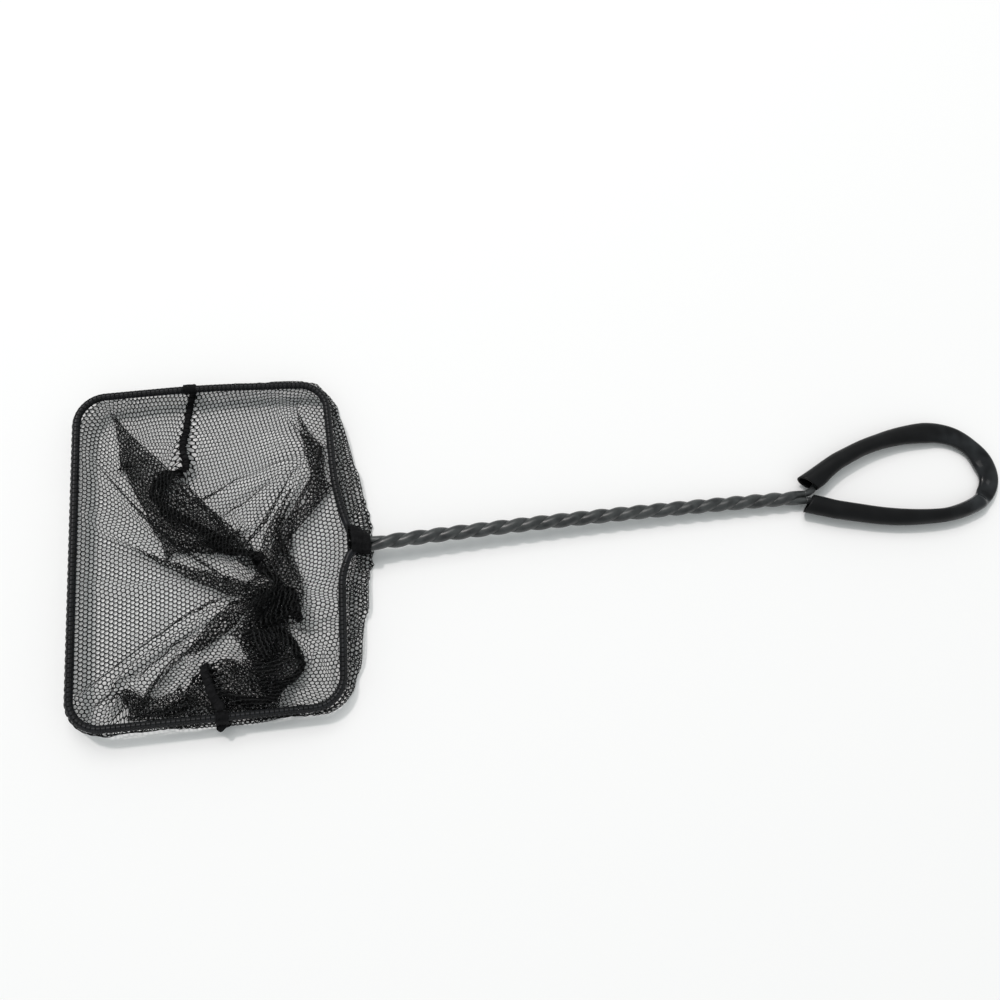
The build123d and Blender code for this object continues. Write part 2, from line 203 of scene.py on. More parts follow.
# Hem: the netting folded round the wire, its sewn tail and the stitches along it
HEM_RADIUS = 1.4
HEM_TAIL_REACH = 2.9
HEM_TAIL_SLOPE = radians(50.0)
HEM_THREAD_THICKNESS = 0.1
STITCH_FROM_EDGE = 0.9
STITCH_LENGTH = 2.0
STITCH_STEP = 2.6
STITCH_RISE = 0.16
STITCH_SEAT = 0.05
STITCH_POINTS = 9
SEWING_THREAD_RADIUS = 0.17
SEWING_THREAD_SIDES = 6

# Overlocked seam, which widens toward its near end, with its waves as a share and radians for a millimetre
SEAM_HALF_WIDTH = 1.2
SEAM_HALF_HEIGHT = 0.55
SEAM_NEAR_SPREAD = 1.5
SEAM_NEAR_REACH = 14.0
SEAM_UNEVEN = ((0.12, 1.9), (0.08, 4.3))
SEAM_SMOOTHING = 2
SEAM_STEP = 0.7
SEAM_SIDES = 14
OVERLOCK_PITCH = 1.7
OVERLOCK_RISE = 0.12
OVERLOCK_SECOND_RISE = 0.1
OVERLOCK_SECOND_PITCH = 1.31
OVERLOCK_SIDES = 5
OVERLOCK_TURN_STEPS = 12

# Windings over the hem at the seam's ends, in two layers: part of a turn ahead and lift
SEAM_END_WIDTH = 4.4
SEAM_END_TURNS = 9
SEAM_END_TURN_STEPS = 28
SEAM_END_LAYERS = ((0.0, 0.22), (0.5, 0.38))
SEAM_END_WOBBLE = 0.05
SEAM_END_THREAD_RADIUS = 0.24

# Neck gather: a pleated trumpet of netting, bound with thread at its narrow end
GATHER_START = (50.6, -0.6)
GATHER_END = (59.6, -4.3)
GATHER_START_HALF = (5.4, 2.7)
GATHER_END_HALF = (3.3, 2.3)
GATHER_PLEATS = 9
GATHER_PLEAT_DEPTH = 0.16
GATHER_PLEAT_LEAN = 3
GATHER_PLEAT_FADE = 1.2
GATHER_LUMPS = 4
GATHER_LUMP_DEPTH = 0.06
GATHER_FLARE = 0.6
GATHER_LAYERS = (1.0, 0.9, 0.8, 0.7, 0.58)
GATHER_CUT_WIDTH = 36.0
GATHER_CUT_LENGTH = 9.6
BINDING_TURNS = 15
BINDING_TURN_STEPS = 32
BINDING_START = 0.24
BINDING_END = 0.97
BINDING_LAYERS = ((1, 0.2), (-1, 0.5))
BINDING_SWELL = 0.35
BINDING_WOBBLE = 0.08
BINDING_RADIUS = 0.3
BINDING_SIDES = 7

# Grip sleeve: share of its length from the upper mouth, half widths inward and outward, half height
SLEEVE_STATIONS = (
    (0.0, 4.7, 3.5, 3.2),
    (0.03, 4.7, 3.5, 3.2),
    (0.05, 4.0, 3.6, 3.2),
    (0.08, 3.4, 3.7, 3.3),
    (0.12, 2.9, 3.8, 3.3),
    (0.16, 2.6, 3.8, 3.3),
    (0.21, 2.8, 3.7, 3.2),
    (0.27, 3.2, 4.3, 2.9),
    (0.33, 3.8, 5.0, 2.6),
    (0.4, 3.2, 4.8, 2.4),
    (0.44, 3.6, 3.4, 2.7),
    (0.48, 4.4, 4.5, 2.2),
    (0.52, 3.5, 4.4, 2.2),
    (0.565, 3.7, 3.5, 2.2),
    (0.585, 2.9, 3.3, 2.9),
    (0.64, 2.6, 3.2, 3.2),
    (0.69, 2.1, 3.3, 3.5),
    (0.74, 2.3, 3.6, 3.5),
    (0.8, 2.7, 4.1, 3.3),
    (0.87, 3.0, 4.2, 3.3),
    (0.93, 3.4, 4.0, 3.3),
    (0.97, 3.8, 3.9, 3.2),
    (1.0, 3.9, 3.9, 3.2),
)
# Dents in the sleeve: share of its length, turn round it, depth, then reach along and round it
SLEEVE_DENTS = (
    (0.37, radians(115.0), 0.8, 0.06, radians(95.0)),
    (0.45, radians(120.0), 1.1, 0.06, radians(100.0)),
    (0.54, radians(120.0), 1.2, 0.05, radians(100.0)),
    (0.578, radians(95.0), 1.1, 0.014, radians(120.0)),
)
# Along X, where the sleeve turns glossier and takes its painted sheen
GLOSS_AND_SHEEN_START_X = 284.0
GLOSS_AND_SHEEN_FULL_X = 298.0
SLEEVE_UPPER_MOUTH = ((230.5, 5.9), (245.0, 13.6))
SLEEVE_LOWER_MOUTH = ((229.7, -2.6), (240.0, -5.7))
SLEEVE_UPPER_JOIN = 29.0
SLEEVE_LOWER_JOIN = 24.0
SLEEVE_MOUTH_TILT = radians(22.0)
SLEEVE_MOUTH_SHARE = 14
SLEEVE_COURSE_STEP = 0.3
SLEEVE_COURSE_SMOOTHING = 60
SLEEVE_STATION_SMOOTHING = 6
SLEEVE_RINGS = 300
SLEEVE_SIDES = 64

# Camera, placed and aimed in the wire's plane
CAMERA_PLACE = (62.2, -115.7, 354.6)
CAMERA_FORWARD = (0.12439, 0.32921, -0.93603)
CAMERA_UP = (0.07624, 0.93740, 0.33982)
CAMERA_LENS = 35.87
CAMERA_CLIP_START = 0.01

# Studio, in metres
FLOOR_SIZE = 4.0
WORLD_COLOUR = (0.95, 1.0, 1.0, 1.0)
WORLD_STRENGTH = 0.56
KEY_PLACE = (-0.55, 0.6, 1.3)
KEY_AIM = (0.0, 0.0, 0.0)
KEY_ENERGY = 0.95
KEY_COLOUR = (1.0, 0.94, 0.93)
KEY_ANGLE = radians(5.0)
SOFTBOX_PLACE = (-0.1, 0.7, 1.3)
SOFTBOX_AIM = (0.12, 0.0, 0.0)
SOFTBOX_ENERGY = 7.0
SOFTBOX_COLOUR = (1.0, 0.98, 0.97)
SOFTBOX_SIZE = 1.0

HALF_ALONG = HOOP_ALONG / 2
HALF_ACROSS = HOOP_ACROSS / 2
UP = np.array((0.0, 0.0, 1.0))
FAR_AWAY = 1e3
NO_ZERO = 1e-9
NO_ZERO_NORMAL = 1e-12


# Frame of the laid net
TWIST_END = (
    NECK[0] + TWIST_LENGTH * cos(TWIST_ANGLE),
    NECK[1] + TWIST_LENGTH * sin(TWIST_ANGLE),
)
SLEEVE_END_X = TWIST_END[0] + LOOP_END[0] + SLEEVE_OUTWARD_SHIFT + SLEEVE_END_HALF_WIDTH
SLEEVE_DROP = WIRE_RADIUS + SLEEVE_SEAT_GAP + SLEEVE_WALL
LIE_ANGLE = asin(HOOP_HEIGHT / hypot(SLEEVE_END_X, SLEEVE_DROP)) - atan2(SLEEVE_DROP, SLEEVE_END_X)
LIE_TURN = np.array(
    (
        (cos(LIE_ANGLE), 0.0, sin(LIE_ANGLE)),
        (0.0, 1.0, 0.0),
        (-sin(LIE_ANGLE), 0.0, cos(LIE_ANGLE)),
    )
)


def tipped(points):
    """Points of the wire's plane once the net lies on the table, in millimetres."""
    return np.asarray(points, float) @ LIE_TURN.T + UP * HOOP_HEIGHT


# Centre lines
def unit(vector):
    """Vector of length one."""
    vector = np.asarray(vector, float)
    return vector / np.linalg.norm(vector, axis=-1, keepdims=True)


def heading(angle):
    """Unit vector in the wire's plane at an angle from the handle's direction."""
    return np.array((cos(angle), sin(angle), 0.0))


def turned(vector, angle):
    """Vector turned about Z."""
    x, y, z = vector
    return np.array((x * cos(angle) - y * sin(angle), x * sin(angle) + y * cos(angle), z))


def arc_points(start, tangent, end, step):
    """Points of the arc that leaves start along a tangent and reaches end, without its start."""
    chord = end - start
    length = np.linalg.norm(chord)
    normal = chord - tangent * (chord @ tangent)
    half = atan2(np.linalg.norm(normal), chord @ tangent)
    if half < STRAIGHT_TURN:
        count = max(1, ceil(length / step))
        return [start + chord * (k / count) for k in range(1, count + 1)]
    radius = length / (2 * sin(half))
    centre_way = normal / np.linalg.norm(normal)
    count = max(3, ceil(2 * half * radius / step))
    turns = [2 * half * k / count for k in range(1, count + 1)]
    return [start + tangent * (radius * sin(t)) + centre_way * (radius * (1 - cos(t))) for t in turns]


def biarc_points(start, start_tangent, end, end_tangent, step):
    """Points of two arcs that join start to end smoothly, without the start."""
    span = end - start
    both = start_tangent + end_tangent
    a = 4 - both @ both
    b = 2 * span @ both
    c = -span @ span
    reach = (sqrt(b * b - 4 * a * c) - b) / (2 * a)
    meeting = (start + start_tangent * reach + end - end_tangent * reach) / 2
    middle = unit(end - end_tangent * reach - start - start_tangent * reach)
    return arc_points(start, start_tangent, meeting, step) + arc_points(meeting, middle, end, step)


def rounded_points(corners, radii, step):
    """Points along straight runs whose inner corners are rounded to their radii."""
    points = [corners[0]]
    for before, corner, after, radius in zip(corners, corners[1:], corners[2:], radii):
        into = unit(corner - before)
        out = unit(after - corner)
        turn = np.arccos(np.clip(into @ out, -1, 1))
        run = radius * tan(turn / 2)
        points += arc_points(points[-1], into, corner - into * run, step)
        points += arc_points(corner - into * run, into, corner + out * run, step)
    points += arc_points(points[-1], unit(corners[-1] - points[-1]), corners[-1], step)
    return np.array(points)


def axis_slope(distance):
    """Rise of the handle's axis for each millimetre along its chord."""
    return 4 * TWIST_BOW * (TWIST_LENGTH - 2 * distance) / TWIST_LENGTH**2


def twist_phase(distance):
    """Radians that the strands have turned at a distance from the neck: left-handed, eased at both ends."""
    full = -2 * pi * TWIST_TURNS / (TWIST_LENGTH - TWIST_EASE)
    left = TWIST_LENGTH - distance
    if distance < TWIST_EASE:
        return full * distance**2 / (2 * TWIST_EASE)
    if left < TWIST_EASE:
        return full * (TWIST_LENGTH - TWIST_EASE - left**2 / (2 * TWIST_EASE))
    return full * (distance - TWIST_EASE / 2)


TWIST_ALONG = heading(TWIST_ANGLE)
TWIST_ACROSS = heading(TWIST_ANGLE + pi / 2)
START_TANGENT = unit(TWIST_ALONG + TWIST_ACROSS * axis_slope(0.0))
END_TANGENT = unit(TWIST_ALONG + TWIST_ACROSS * axis_slope(TWIST_LENGTH))
UPPER_PHASE = 0.0 if cos(twist_phase(TWIST_LENGTH)) > 0 else pi


def axis_point(distance):
    """Point of the handle's bowed axis at a distance from the neck."""
    rise = 4 * TWIST_BOW * distance * (TWIST_LENGTH - distance) / TWIST_LENGTH**2
    return np.array((*NECK, 0.0)) + TWIST_ALONG * distance + TWIST_ACROSS * rise


def strand_point(distance, first_phase):
    """Point of a strand's centre line at a distance from the neck."""
    phase = first_phase + twist_phase(distance)
    return axis_point(distance) + (TWIST_ACROSS * cos(phase) + UP * sin(phase)) * STRAND_RADIUS


def hoop_points(step):
    """Centre line of the hoop, from the neck's upper end round the mouth to its lower end."""
    upper_start = strand_point(0.0, 0.0)
    lower_start = strand_point(0.0, pi)
    upper_turn = upper_start - START_TANGENT * NECK_STRAIGHT
    lower_turn = lower_start - START_TANGENT * (NECK_STRAIGHT + STRAND_RADIUS)
    upper_lead = np.array((HALF_ALONG + UPPER_NECK_LEAD[0], upper_turn[1] + UPPER_NECK_LEAD[1], 0.0))
    lower_lead = np.array((HALF_ALONG + LOWER_NECK_LEAD[0], lower_turn[1] - LOWER_NECK_LEAD[1], 0.0))
    bends = (
        (upper_turn, UPPER_NECK_BEND),
        (upper_lead, UPPER_NECK_SWEEP),
        (np.array((HALF_ALONG, HALF_ACROSS, 0.0)), HOOP_CORNER_RADIUS),
        (np.array((0.0, HALF_ACROSS + FAR_SIDE_BOW, 0.0)), FAR_SIDE_BOW_RADIUS),
        (np.array((-HALF_ALONG, HALF_ACROSS, 0.0)), HOOP_CORNER_RADIUS),
        (np.array((-HALF_ALONG, -HALF_ACROSS, 0.0)), HOOP_CORNER_RADIUS),
        (np.array((HALF_ALONG, -HALF_ACROSS, 0.0)), HOOP_CORNER_RADIUS),
        (lower_lead, LOWER_NECK_SWEEP),
        (lower_turn, LOWER_NECK_BEND),
    )
    corners = [upper_start, *[point for point, _ in bends], lower_start]
    return rounded_points(corners, [radius for _, radius in bends], step)


def leg_points(strand_phase, side, bend, angle, crown, end_angle, step):
    """Centre line of one leg of the hanging loop, from the end of the twist to the loop's far end."""
    start = strand_point(TWIST_LENGTH, strand_phase)
    spring_tangent = turned(END_TANGENT, side * angle)
    spring = start + (END_TANGENT + spring_tangent) * (bend * tan(angle / 2))
    end_of_twist = np.array((*TWIST_END, 0.0))
    crown_point = end_of_twist + np.array((*crown, 0.0))
    far_point = end_of_twist + np.array((LOOP_END[0], LOOP_END[1] + side * WIRE_BUTT_GAP / 2, 0.0))
    stations = (
        (start, END_TANGENT),
        (spring, spring_tangent),
        (crown_point, heading(0.0)),
        (far_point, heading(end_angle)),
    )
    points = [start]
    for (here, here_tangent), (there, there_tangent) in zip(stations, stations[1:]):
        points += biarc_points(here, here_tangent, there, there_tangent, step)
    return np.array(points)


def loop_legs(step):
    """Centre lines of the upper and the lower leg of the hanging loop."""
    upper = leg_points(UPPER_PHASE, 1, LOOP_UPPER_BEND, LOOP_UPPER_ANGLE, LOOP_TOP, -pi / 2, step)
    lower = leg_points(pi - UPPER_PHASE, -1, LOOP_LOWER_BEND, LOOP_LOWER_ANGLE, LOOP_BOTTOM, pi / 2, step)
    return upper, lower


def distances(points):
    """Distance along a line of points from its first."""
    steps = np.linalg.norm(np.diff(points, axis=0), axis=1)
    return np.concatenate(((0.0,), np.cumsum(steps)))


def along_line(points, places):
    """Points at distances along a line."""
    travelled = distances(points)
    return np.stack([np.interp(places, travelled, points[:, k]) for k in range(3)], axis=-1)


def directions(points):
    """Unit tangents of a line of points."""
    return unit(np.gradient(points, axis=0))


def smoothed(points, rounds):
    """Line of points with its small kinks evened out, ends kept."""
    points = points.copy()
    for _ in range(rounds):
        points[1:-1] = points[1:-1] * 0.5 + (points[:-2] + points[2:]) * 0.25
    return points


def spaced(points, step):
    """Line of points spaced evenly."""
    total = distances(points)[-1]
    return along_line(points, np.linspace(0.0, total, ceil(total / step) + 1))


def eased(share):
    """Share from 0 to 1 that starts and stops softly."""
    return share * share * (3 - 2 * share)


def hem_stretch(step):
    """The hoop's centre line where the hem covers it, with its outward ways."""
    hoop = hoop_points(step)
    travelled = distances(hoop)
    hemmed = (travelled > HEM_UPPER_START) & (travelled < travelled[-1] - HEM_LOWER_START)
    return hoop[hemmed], unit(np.cross(directions(hoop), UP))[hemmed]


def nearest_on_side(line, x, side):
    """Number of the point of a line that is nearest to an X, on the side of positive or negative Y."""
    return np.argmin(np.abs(line[:, 0] - x) + np.where(line[:, 1] * side > 0, 0.0, FAR_AWAY))


# Meshes
def new_piece(name, mesh_data, material, nodes, slot_name):
    """A piece from vertices in millimetres and faces, which stands for CAD nodes. Its slot name is not
    used.
    """
    verts, faces = mesh_data
    mesh = bpy.data.meshes.new(name)
    mesh.from_pydata([tuple(v) for v in np.asarray(verts) * MM], [], faces)
    mesh.polygons.foreach_set("use_smooth", [True] * len(mesh.polygons))
    mesh.materials.append(material)
    mesh.update()
    piece = bpy.data.objects.new(name, mesh)
    bpy.context.scene.collection.objects.link(piece)
    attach(piece, BODY)
    if nodes:
        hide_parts(*nodes)
    return piece


def joined(meshes):
    """Several vertex and face lists as one."""
    verts = []
    faces = []
    count = 0
    for mesh_verts, mesh_faces in meshes:
        verts.append(np.asarray(mesh_verts))
        faces += [tuple(int(k) + count for k in face) for face in mesh_faces]
        count += len(mesh_verts)
    return np.concatenate(verts), faces


def ring_quads(ring_count, sides):
    """Vertex numbers of rings of points, those of their next neighbours, and quads between the rings."""
    number = np.arange(ring_count * sides).reshape(ring_count, sides)
    around = np.roll(number, -1, axis=1)
    quads = np.stack((number[:-1], number[1:], around[1:], around[:-1]), axis=-1).reshape(-1, 4)
    return number, around, quads


def ringed_rod(rings):
    """Vertices and faces of a closed rod from its rings of points."""
    number, _, quads = ring_quads(*rings.shape[:2])
    faces = [tuple(q) for q in quads.tolist()]
    faces.append(tuple(number[0].tolist()))
    faces.append(tuple(number[-1][::-1].tolist()))
    return rings.reshape(-1, 3), faces


def tube(points, radius, sides):
    """Vertices and faces of a round rod along a line of points, closed at its ends."""
    tangents = directions(points)
    side = unit(np.cross(tangents[0], UP))
    rings = []
    for point, tangent in zip(points, tangents):
        side = unit(side - tangent * (side @ tangent))
        over = np.cross(side, tangent)
        turns = np.arange(sides) * (2 * pi / sides)
        rings.append(point + radius * (np.outer(np.cos(turns), side) + np.outer(np.sin(turns), over)))
    return ringed_rod(np.array(rings))


def lying_frame(line):
    """Sideward and upward ways, square to a line, at each of its points."""
    tangents = directions(line)
    side = unit(np.cross(tangents, UP) + NO_ZERO)
    return side, np.cross(side, tangents)


def coil(points, half_width, half_height, pitch):
    """Sewing thread wound round a line of points, as an oval helix that lies flat."""
    line = spaced(points, pitch / OVERLOCK_TURN_STEPS)
    side, over = lying_frame(line)
    turns = 2 * pi * np.arange(len(line)) / OVERLOCK_TURN_STEPS
    offset = side * (half_width * np.cos(turns))[:, None] + over * (half_height * np.sin(turns))[:, None]
    return tube(line + offset, SEWING_THREAD_RADIUS, OVERLOCK_SIDES)


# Materials
def new_material(name, colour, roughness):
    """A material with its nodes and its shader."""
    material = bpy.data.materials.new(name)
    material.use_nodes = True
    tree = material.node_tree
    shader = tree.nodes["Principled BSDF"]
    shader.inputs["Base Color"].default_value = (*colour, 1.0)
    shader.inputs["Roughness"].default_value = roughness
    return material, tree, shader


def noise(tree, scale, detail=4.0):
    """Noise by place on the object, with its scale in bumps for each metre."""
    place = tree.nodes.new("ShaderNodeTexCoord")
    texture = tree.nodes.new("ShaderNodeTexNoise")
    texture.inputs["Scale"].default_value = scale
    texture.inputs["Detail"].default_value = detail
    tree.links.new(place.outputs["Object"], texture.inputs["Vector"])
    return texture.outputs["Fac"]


def shade_between(tree, factor, dark, light, low=0.35, high=0.65):
    """Colour that goes from dark to light as a factor rises from low to high."""
    ramp = tree.nodes.new("ShaderNodeValToRGB")
    ramp.color_ramp.elements[0].position = low
    ramp.color_ramp.elements[1].position = high
    ramp.color_ramp.elements[0].color = (*dark, 1.0)
    ramp.color_ramp.elements[1].color = (*light, 1.0)
    tree.links.new(factor, ramp.inputs["Fac"])
    return ramp.outputs["Color"]


def value_between(tree, factor, low, high):
    """Number that goes from low to high with a factor."""
    spread = tree.nodes.new("ShaderNodeMapRange")
    spread.inputs["To Min"].default_value = low
    spread.inputs["To Max"].default_value = high
    tree.links.new(factor, spread.inputs["Value"])
    return spread.outputs["Result"]


def add_bump(tree, shader, height, distance, strength):
    """Fine relief from a height."""
    bump = tree.nodes.new("ShaderNodeBump")
    bump.inputs["Distance"].default_value = distance
    bump.inputs["Strength"].default_value = strength
    tree.links.new(height, bump.inputs["Height"])
    tree.links.new(bump.outputs["Normal"], shader.inputs["Normal"])


def make_finish(name, base, roughness, blotches, rubs, shine, grain):
    """Dark finish in blotches of two shades, unevenly rough and with a fine grain.

    blotches are their scale, dark shade and light shade. rubs are their scale, least and most roughness.
    grain is its scale, detail, height and strength.
    """
    material, tree, shader = new_material(name, base, roughness)
    blotch_scale, dark, light = blotches
    colour = shade_between(tree, noise(tree, blotch_scale), dark, light)
    tree.links.new(colour, shader.inputs["Base Color"])
    rub_scale, least, most = rubs
    tree.links.new(value_between(tree, noise(tree, rub_scale), least, most), shader.inputs["Roughness"])
    shader.inputs["Specular IOR Level"].default_value = shine
    grain_scale, detail, height, strength = grain
    add_bump(tree, shader, noise(tree, grain_scale, detail), height, strength)
    return material


def toward_loop_end(tree, on_legs, at_end, patches):
    """Number that changes from the loop's legs to its far end, times a patchy factor."""
    place = tree.nodes.new("ShaderNodeTexCoord")
    parts = tree.nodes.new("ShaderNodeSeparateXYZ")
    tree.links.new(place.outputs["Object"], parts.inputs["Vector"])
    change = tree.nodes.new("ShaderNodeMapRange")
    change.inputs["From Min"].default_value = GLOSS_AND_SHEEN_START_X * MM
    change.inputs["From Max"].default_value = GLOSS_AND_SHEEN_FULL_X * MM
    change.inputs["To Min"].default_value = on_legs
    change.inputs["To Max"].default_value = at_end
    tree.links.new(parts.outputs["X"], change.inputs["Value"])
    product = tree.nodes.new("ShaderNodeMath")
    product.operation = "MULTIPLY"
    tree.links.new(change.outputs["Result"], product.inputs[0])
    tree.links.new(patches, product.inputs[1])
    return product.outputs["Value"]


def make_vinyl():
    """Black flexible vinyl: dull along the legs, glossier toward the loop's far end, where its colour also
    turns paler grey in patches as a painted sheen.
    """
    material, tree, shader = new_material("sleeve_vinyl", (0.005, 0.005, 0.0055), 0.35)
    dull_black = (0.0018, 0.0018, 0.0022)
    painted_sheen_grey = (0.03, 0.033, 0.036)
    # Painted sheen: paler grey patches toward the loop's far end stand in for reflections on the buckled
    # vinyl
    sheen_patches = value_between(tree, noise(tree, 110.0, 2.0), -0.6, 1.4)
    painted_sheen_share = toward_loop_end(tree, 0.12, 1.0, sheen_patches)
    colour = shade_between(tree, painted_sheen_share, dull_black, painted_sheen_grey, 0.0, 0.8)
    tree.links.new(colour, shader.inputs["Base Color"])
    rough_patches = value_between(tree, noise(tree, 160.0), 0.7, 1.3)
    tree.links.new(toward_loop_end(tree, 0.46, 0.17, rough_patches), shader.inputs["Roughness"])
    shader.inputs["Specular IOR Level"].default_value = 0.18
    add_bump(tree, shader, noise(tree, 420.0, 3.0), 0.0002, 0.2)
    return material


def make_floor_white():
    """Plain pale studio floor."""
    material, _, shader = new_material("floor_white", (0.95, 0.95, 0.95), 0.9)
    shader.inputs["Specular IOR Level"].default_value = 0.0
    return material


# Finishes: plastic coat of the handle, the same coat on the hoop painted darker as shade under the hem
# netting, netting thread and spun sewing thread
WIRE_RUBS = (700.0, 0.24, 0.44)
WIRE_GRAIN = (1800.0, 2.0, 0.00005, 0.25)
HANDLE_BLOTCHES = (260.0, (0.016, 0.017, 0.018), (0.05, 0.054, 0.054))
# The hoop's coat is the handle's coat painted darker, as painted shade of the hem netting wrapped over it
SHADED_HOOP_BLOTCHES = (260.0, (0.006, 0.0065, 0.008), (0.012, 0.013, 0.016))
NETTING_BLOTCHES = (500.0, (0.003, 0.0034, 0.0036), (0.009, 0.01, 0.0105))
NETTING_RUBS = (3000.0, 0.42, 0.75)
NETTING_GRAIN = (9000.0, 2.0, 0.00004, 0.5)
SEWING_BLOTCHES = (900.0, (0.0015, 0.0015, 0.002), (0.007, 0.007, 0.008))
SEWING_RUBS = (2200.0, 0.55, 0.9)
SEWING_GRAIN = (6000.0, 3.0, 0.00008, 0.7)
WIRE_ROUGHNESS = 0.35
coated_wire = make_finish(
    "coated_wire", (0.05, 0.054, 0.054), WIRE_ROUGHNESS, HANDLE_BLOTCHES, WIRE_RUBS, 0.5, WIRE_GRAIN
)
shaded_hoop_coat = make_finish(
    "shaded_hoop_coat", (0.012, 0.013, 0.016), WIRE_ROUGHNESS, SHADED_HOOP_BLOTCHES, WIRE_RUBS, 0.15, WIRE_GRAIN
)
netting_thread = make_finish(
    "netting_thread", (0.005, 0.0055, 0.006), 0.55, NETTING_BLOTCHES, NETTING_RUBS, 0.3, NETTING_GRAIN
)
sewing_thread = make_finish(
    "sewing_thread", (0.005, 0.005, 0.0055), 0.6, SEWING_BLOTCHES, SEWING_RUBS, 0.15, SEWING_GRAIN
)
sleeve_vinyl = make_vinyl()
floor_white = make_floor_white()


# Bag simulation
def rim_line():
    """Line of the bag's rim, outside and below the wire, cut in two at the seam's ends.

    Returns the tip panel's stretch and the handle panel's, both from the seam's far end to its near end.
    """
    line, outward = hem_stretch(RIM_STEP)
    rim = line + outward * RIM_OUT - UP * RIM_DOWN
    far = nearest_on_side(rim, SEAM_FAR_X, 1)
    near = nearest_on_side(rim, SEAM_NEAR_X, -1)
    tip = rim[far : near + 1]
    handle = np.concatenate((rim[far::-1], rim[: near - 1 : -1]))
    return tip, handle


def cut_depth(u):
    """Depth of a panel's cut at a place along its mouth: its two lower corners are rounded."""
    inset = np.minimum(u, PANEL_WIDTH - u)
    short = np.clip(PANEL_CORNER - inset, 0.0, PANEL_CORNER)
    return PANEL_DEPTH - PANEL_CORNER + np.sqrt(PANEL_CORNER**2 - short**2)


def panel_flat():
    """Flat places, along the mouth and down, of a panel's grid points."""
    u = np.linspace(0.0, PANEL_WIDTH, PANEL_COLUMNS + 1)
    share = np.linspace(0.0, 1.0, PANEL_ROWS + 1)
    flat_u = np.repeat(u[:, None], PANEL_ROWS + 1, axis=1)
    return np.stack((flat_u, share[None, :] * cut_depth(u)[:, None]), axis=-1)


def hanging_panel(rim):
    """Grid of a panel as it hangs from the raised hoop, before the net is laid down.

    Its plan goes from the rim's bent line to a straight one, as wide as the cut, at the other panel.
    """
    flat = panel_flat()
    u = flat[:, 0, 0]
    top = along_line(rim, u / PANEL_WIDTH * distances(rim)[-1])
    middle = (rim[0] + rim[-1]) / 2
    across = (PANEL_WIDTH / 2 - u)[:, None] * unit(rim[0] - rim[-1])
    share = flat[:, :, 1] / cut_depth(u)[:, None]
    spread = flat[:, :, 1] / PANEL_DEPTH
    bottom = top + (middle + across - top) * spread[:, -1, None]
    meeting = np.stack((middle[0] + across[:, 0], bottom[:, 1], bottom[:, 2]), axis=-1)
    grid = top[:, None, :] + (meeting - top)[:, None, :] * share[:, :, None]
    run = np.linalg.norm(np.diff(grid, axis=1), axis=-1)
    fall = np.diff(flat[:, :, 1], axis=1)
    drop = np.sqrt(np.maximum(fall**2 - run**2, (LEAST_HANG * fall) ** 2))
    grid[:, 1:, 2] -= np.cumsum(drop, axis=1)
    return grid


def seam_cells():
    """Grid places of the seam: from the mouth's far end down, along the bottom and up to the near end."""
    down = [(0, row) for row in range(PANEL_ROWS + 1)]
    bottom = [(column, PANEL_ROWS) for column in range(1, PANEL_COLUMNS)]
    up = [(PANEL_COLUMNS, row) for row in reversed(range(PANEL_ROWS + 1))]
    return down + bottom + up


def bag_mesh_indices():
    """Vertex numbers of the two panels' grids, which share the seam's vertices."""
    size = (PANEL_COLUMNS + 1, PANEL_ROWS + 1)
    tip = np.arange(size[0] * size[1]).reshape(size)
    handle = np.full(size, -1)
    for column, row in seam_cells():
        handle[column, row] = tip[column, row]
    free = handle < 0
    handle[free] = tip.size + np.arange(free.sum())
    return tip, handle


def grid_faces(index, flip):
    """Quads of a grid of vertex numbers."""
    corners = (index[:-1, :-1], index[1:, :-1], index[1:, 1:], index[:-1, 1:])
    quads = np.stack(corners, axis=-1).reshape(-1, 4)
    return quads[:, ::-1] if flip else quads


def run_cloth(start, laid, pattern, faces, held, lowering, frames):
    """Simulates cloth that is cut to a flat pattern and falls on the table.

    The held points go from start to laid during the lowering. Returns all the points at the end.
    """
    scene = bpy.context.scene
    scale = SIM_SCALE * MM
    mesh = bpy.data.meshes.new("bag_sim")
    mesh.from_pydata([tuple(v) for v in start * scale], [], [tuple(f) for f in faces.tolist()])
    bag = bpy.data.objects.new("bag_sim", mesh)
    scene.collection.objects.link(bag)
    bag.shape_key_add(name="Basis")
    laid_key = bag.shape_key_add(name="laid")
    laid_key.data.foreach_set("co", (laid * scale).ravel())
    pattern_key = bag.shape_key_add(name="pattern")
    pattern_key.data.foreach_set("co", (pattern * scale).ravel())
    laid_key.value = 0.0
    laid_key.keyframe_insert("value", frame=1)
    laid_key.value = 1.0
    laid_key.keyframe_insert("value", frame=lowering)
    group = bag.vertex_groups.new(name="held")
    group.add([int(k) for k in np.flatnonzero(held)], 1.0, "REPLACE")

    bpy.ops.mesh.primitive_plane_add(size=TABLE_SIZE * scale)
    table = bpy.context.object
    table.modifiers.new("Collision", "COLLISION")
    table.collision.thickness_outer = CLOTH_SPACING * scale * TABLE_SPACING
    table.collision.cloth_friction = TABLE_FRICTION

    cloth = bag.modifiers.new("Cloth", "CLOTH")
    for setting, value in CLOTH_SETTINGS.items():
        setattr(cloth.settings, setting, value)
    cloth.settings.vertex_group_mass = "held"
    cloth.settings.rest_shape_key = pattern_key
    collide = cloth.collision_settings
    collide.distance_min = CLOTH_SPACING * scale * TABLE_SPACING
    collide.collision_quality = COLLISION_QUALITY
    collide.use_self_collision = True
    collide.self_distance_min = CLOTH_SPACING * scale
    collide.self_friction = SELF_FRICTION
    cloth.point_cache.frame_start = 1
    cloth.point_cache.frame_end = frames
    for number in range(1, frames + 1):
        scene.frame_set(number)
    shown = bag.evaluated_get(bpy.context.evaluated_depsgraph_get())
    points = np.zeros(len(start) * 3)
    shown.data.vertices.foreach_get("co", points)
    bpy.data.objects.remove(bag)
    bpy.data.objects.remove(table)
    scene.frame_set(1)
    return points.reshape(-1, 3) / scale


